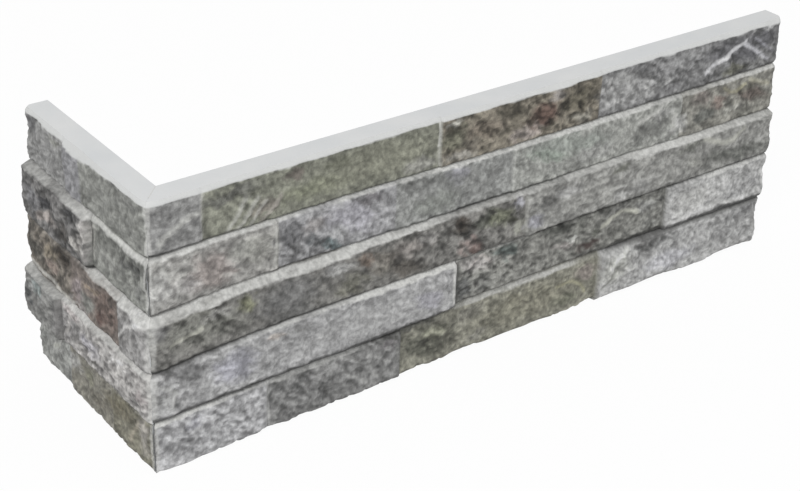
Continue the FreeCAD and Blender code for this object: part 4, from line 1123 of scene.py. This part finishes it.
def cured_epoxy():
    """Filled epoxy adhesive, spread and cured in the mitre. The eye sees a thin pale grey
    line with a slight sheen and small lumps of about 2 mm."""
    material, tree = new_material("epoxy_adhesive_filled_cured")
    place = add(tree, "ShaderNodeTexCoord").outputs["Object"]
    lumps = add(tree, "ShaderNodeTexNoise", {"Vector": place, "Scale": 1000 / EPOXY_LUMP, "Detail": 2.0})
    tint = add(tree, "ShaderNodeMix", {
        "Factor": lumps.outputs["Fac"], "A": colour("#BDBDBA"), "B": colour("#D0D0CD")},
        data_type="RGBA")
    bump = add(tree, "ShaderNodeBump", {"Height": lumps.outputs["Fac"], "Strength": 0.3, "Distance": 0.0002})
    shader = add(tree, "ShaderNodeBsdfPrincipled", {
        "Base Color": tint.outputs["Result"], "Roughness": 0.45, "IOR": 1.5,
        "Normal": bump.outputs["Normal"]})
    add(tree, "ShaderNodeOutputMaterial", {"Surface": shader.outputs["BSDF"]})
    return material


# Studio, lengths in metres

FLOOR_SIZE = 3.0
FLOOR_HEIGHT = -0.0004
FLOOR_WHITE = 0.95
WORLD_LIGHT = 0.55
LAMP_TARGET = (0.15, 0.0, 0.07)
# Name, place, width and power in watts of each lamp
LAMPS = (
    ("key_lamp", (-1.95, -1.69, 2.47), 1.3, 77.0),
    ("side_lamp", (1.2, -1.6, 0.9), 1.2, 5.0),
)

# Camera at the photograph's viewing angle, angles in degrees and lens in millimetres
CAMERA_PLACE = (-0.3244, -0.6118, 0.5142)
CAMERA_AZIMUTH = -37.42
CAMERA_ELEVATION = 29.81
CAMERA_ROLL = 2.06
CAMERA_LENS = 75.14
CAMERA_SENSOR = 36.0
CAMERA_CLIP = (0.01, 50.0)


def seen_rays(tree):
    """Output that is 1 for rays from the camera and for mirrored and refracted ones."""
    rays = add(tree, "ShaderNodeLightPath").outputs
    seen = rays["Is Camera Ray"]
    for kind in ("Is Glossy Ray", "Is Transmission Ray"):
        seen = add(tree, "ShaderNodeMath", {0: seen, 1: rays[kind]}, operation="MAXIMUM").outputs["Value"]
    return seen


def white_floor():
    """Matt white studio floor. Seen straight on it is mostly its own white, and keeps a
    faint trace of the object's shadow."""
    material, tree = new_material("studio_floor_matt_white")
    diffuse = add(tree, "ShaderNodeBsdfDiffuse", {"Color": colour("#F0F0F0")})
    white = add(tree, "ShaderNodeEmission", {"Color": WHITE, "Strength": 1.0})
    share = add(tree, "ShaderNodeMath", {0: seen_rays(tree), 1: FLOOR_WHITE}, operation="MULTIPLY")
    mixed = add(tree, "ShaderNodeMixShader", {
        0: share.outputs["Value"], 1: diffuse.outputs["BSDF"], 2: white.outputs["Emission"]})
    add(tree, "ShaderNodeOutputMaterial", {"Surface": mixed.outputs["Shader"]})
    return material


def studio():
    """White floor, a world that lights softly and shows white, a broad key lamp above
    and left of the camera and a weaker one on its right."""
    floor_mesh = bpy.data.meshes.new("studio_floor")
    corners = ((-1, -1), (1, -1), (1, 1), (-1, 1))
    corners = [(FLOOR_SIZE * x, FLOOR_SIZE * y, FLOOR_HEIGHT) for x, y in corners]
    floor_mesh.from_pydata(corners, [], [(0, 1, 2, 3)])
    floor_mesh.materials.append(white_floor())
    floor = bpy.data.objects.new("studio_floor", floor_mesh)
    bpy.context.scene.collection.objects.link(floor)

    world = bpy.data.worlds.new("studio_world")
    world.use_nodes = True
    tree = world.node_tree
    tree.nodes.clear()
    soft = add(tree, "ShaderNodeBackground", {"Color": WHITE, "Strength": WORLD_LIGHT})
    white = add(tree, "ShaderNodeBackground", {"Color": WHITE, "Strength": 1.0})
    mixed = add(tree, "ShaderNodeMixShader", {
        0: seen_rays(tree), 1: soft.outputs["Background"], 2: white.outputs["Background"]})
    add(tree, "ShaderNodeOutputWorld", {"Surface": mixed.outputs["Shader"]})
    bpy.context.scene.world = world

    for name, place, width, power in LAMPS:
        lamp = bpy.data.lights.new(name, "AREA")
        lamp.shape = "SQUARE"
        lamp.size = width
        lamp.energy = power
        holder = bpy.data.objects.new(name, lamp)
        holder.location = place
        aim = Vector(LAMP_TARGET) - Vector(place)
        holder.rotation_euler = aim.to_track_quat("-Z", "Y").to_euler()
        bpy.context.scene.collection.objects.link(holder)


def photo_camera():
    """Camera turned by its azimuth and elevation round the object, then rolled about its
    own line of sight."""
    azimuth, elevation, roll = map(math.radians, (CAMERA_AZIMUTH, CAMERA_ELEVATION, CAMERA_ROLL))
    level = math.cos(elevation)
    back = Vector((math.sin(azimuth) * level, -math.cos(azimuth) * level, math.sin(elevation)))
    right = Vector((0, 0, 1)).cross(back).normalized()
    up = back.cross(right)
    rolled_right = math.cos(roll) * right + math.sin(roll) * up
    rolled_up = math.cos(roll) * up - math.sin(roll) * right
    camera = bpy.data.objects.new("photo_camera", bpy.data.cameras.new("photo_camera"))
    turn = Matrix((rolled_right, rolled_up, back)).transposed()
    camera.matrix_world = Matrix.Translation(CAMERA_PLACE) @ turn.to_4x4()
    camera.data.sensor_width = CAMERA_SENSOR
    camera.data.lens = CAMERA_LENS
    camera.data.clip_start, camera.data.clip_end = CAMERA_CLIP
    bpy.context.scene.collection.objects.link(camera)
    bpy.context.scene.camera = camera


bpy.context.scene.view_settings.view_transform = "Standard"
stone_face = printed_stoneware()
plain_body = pressed_body()
for leaf_name in LEG_RUNS:
    leaf_mesh(leaf_name, stone_face, plain_body)
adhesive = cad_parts["mitre_adhesive"]
adhesive.data.materials.clear()
adhesive.data.materials.append(cured_epoxy())
studio()
photo_camera()
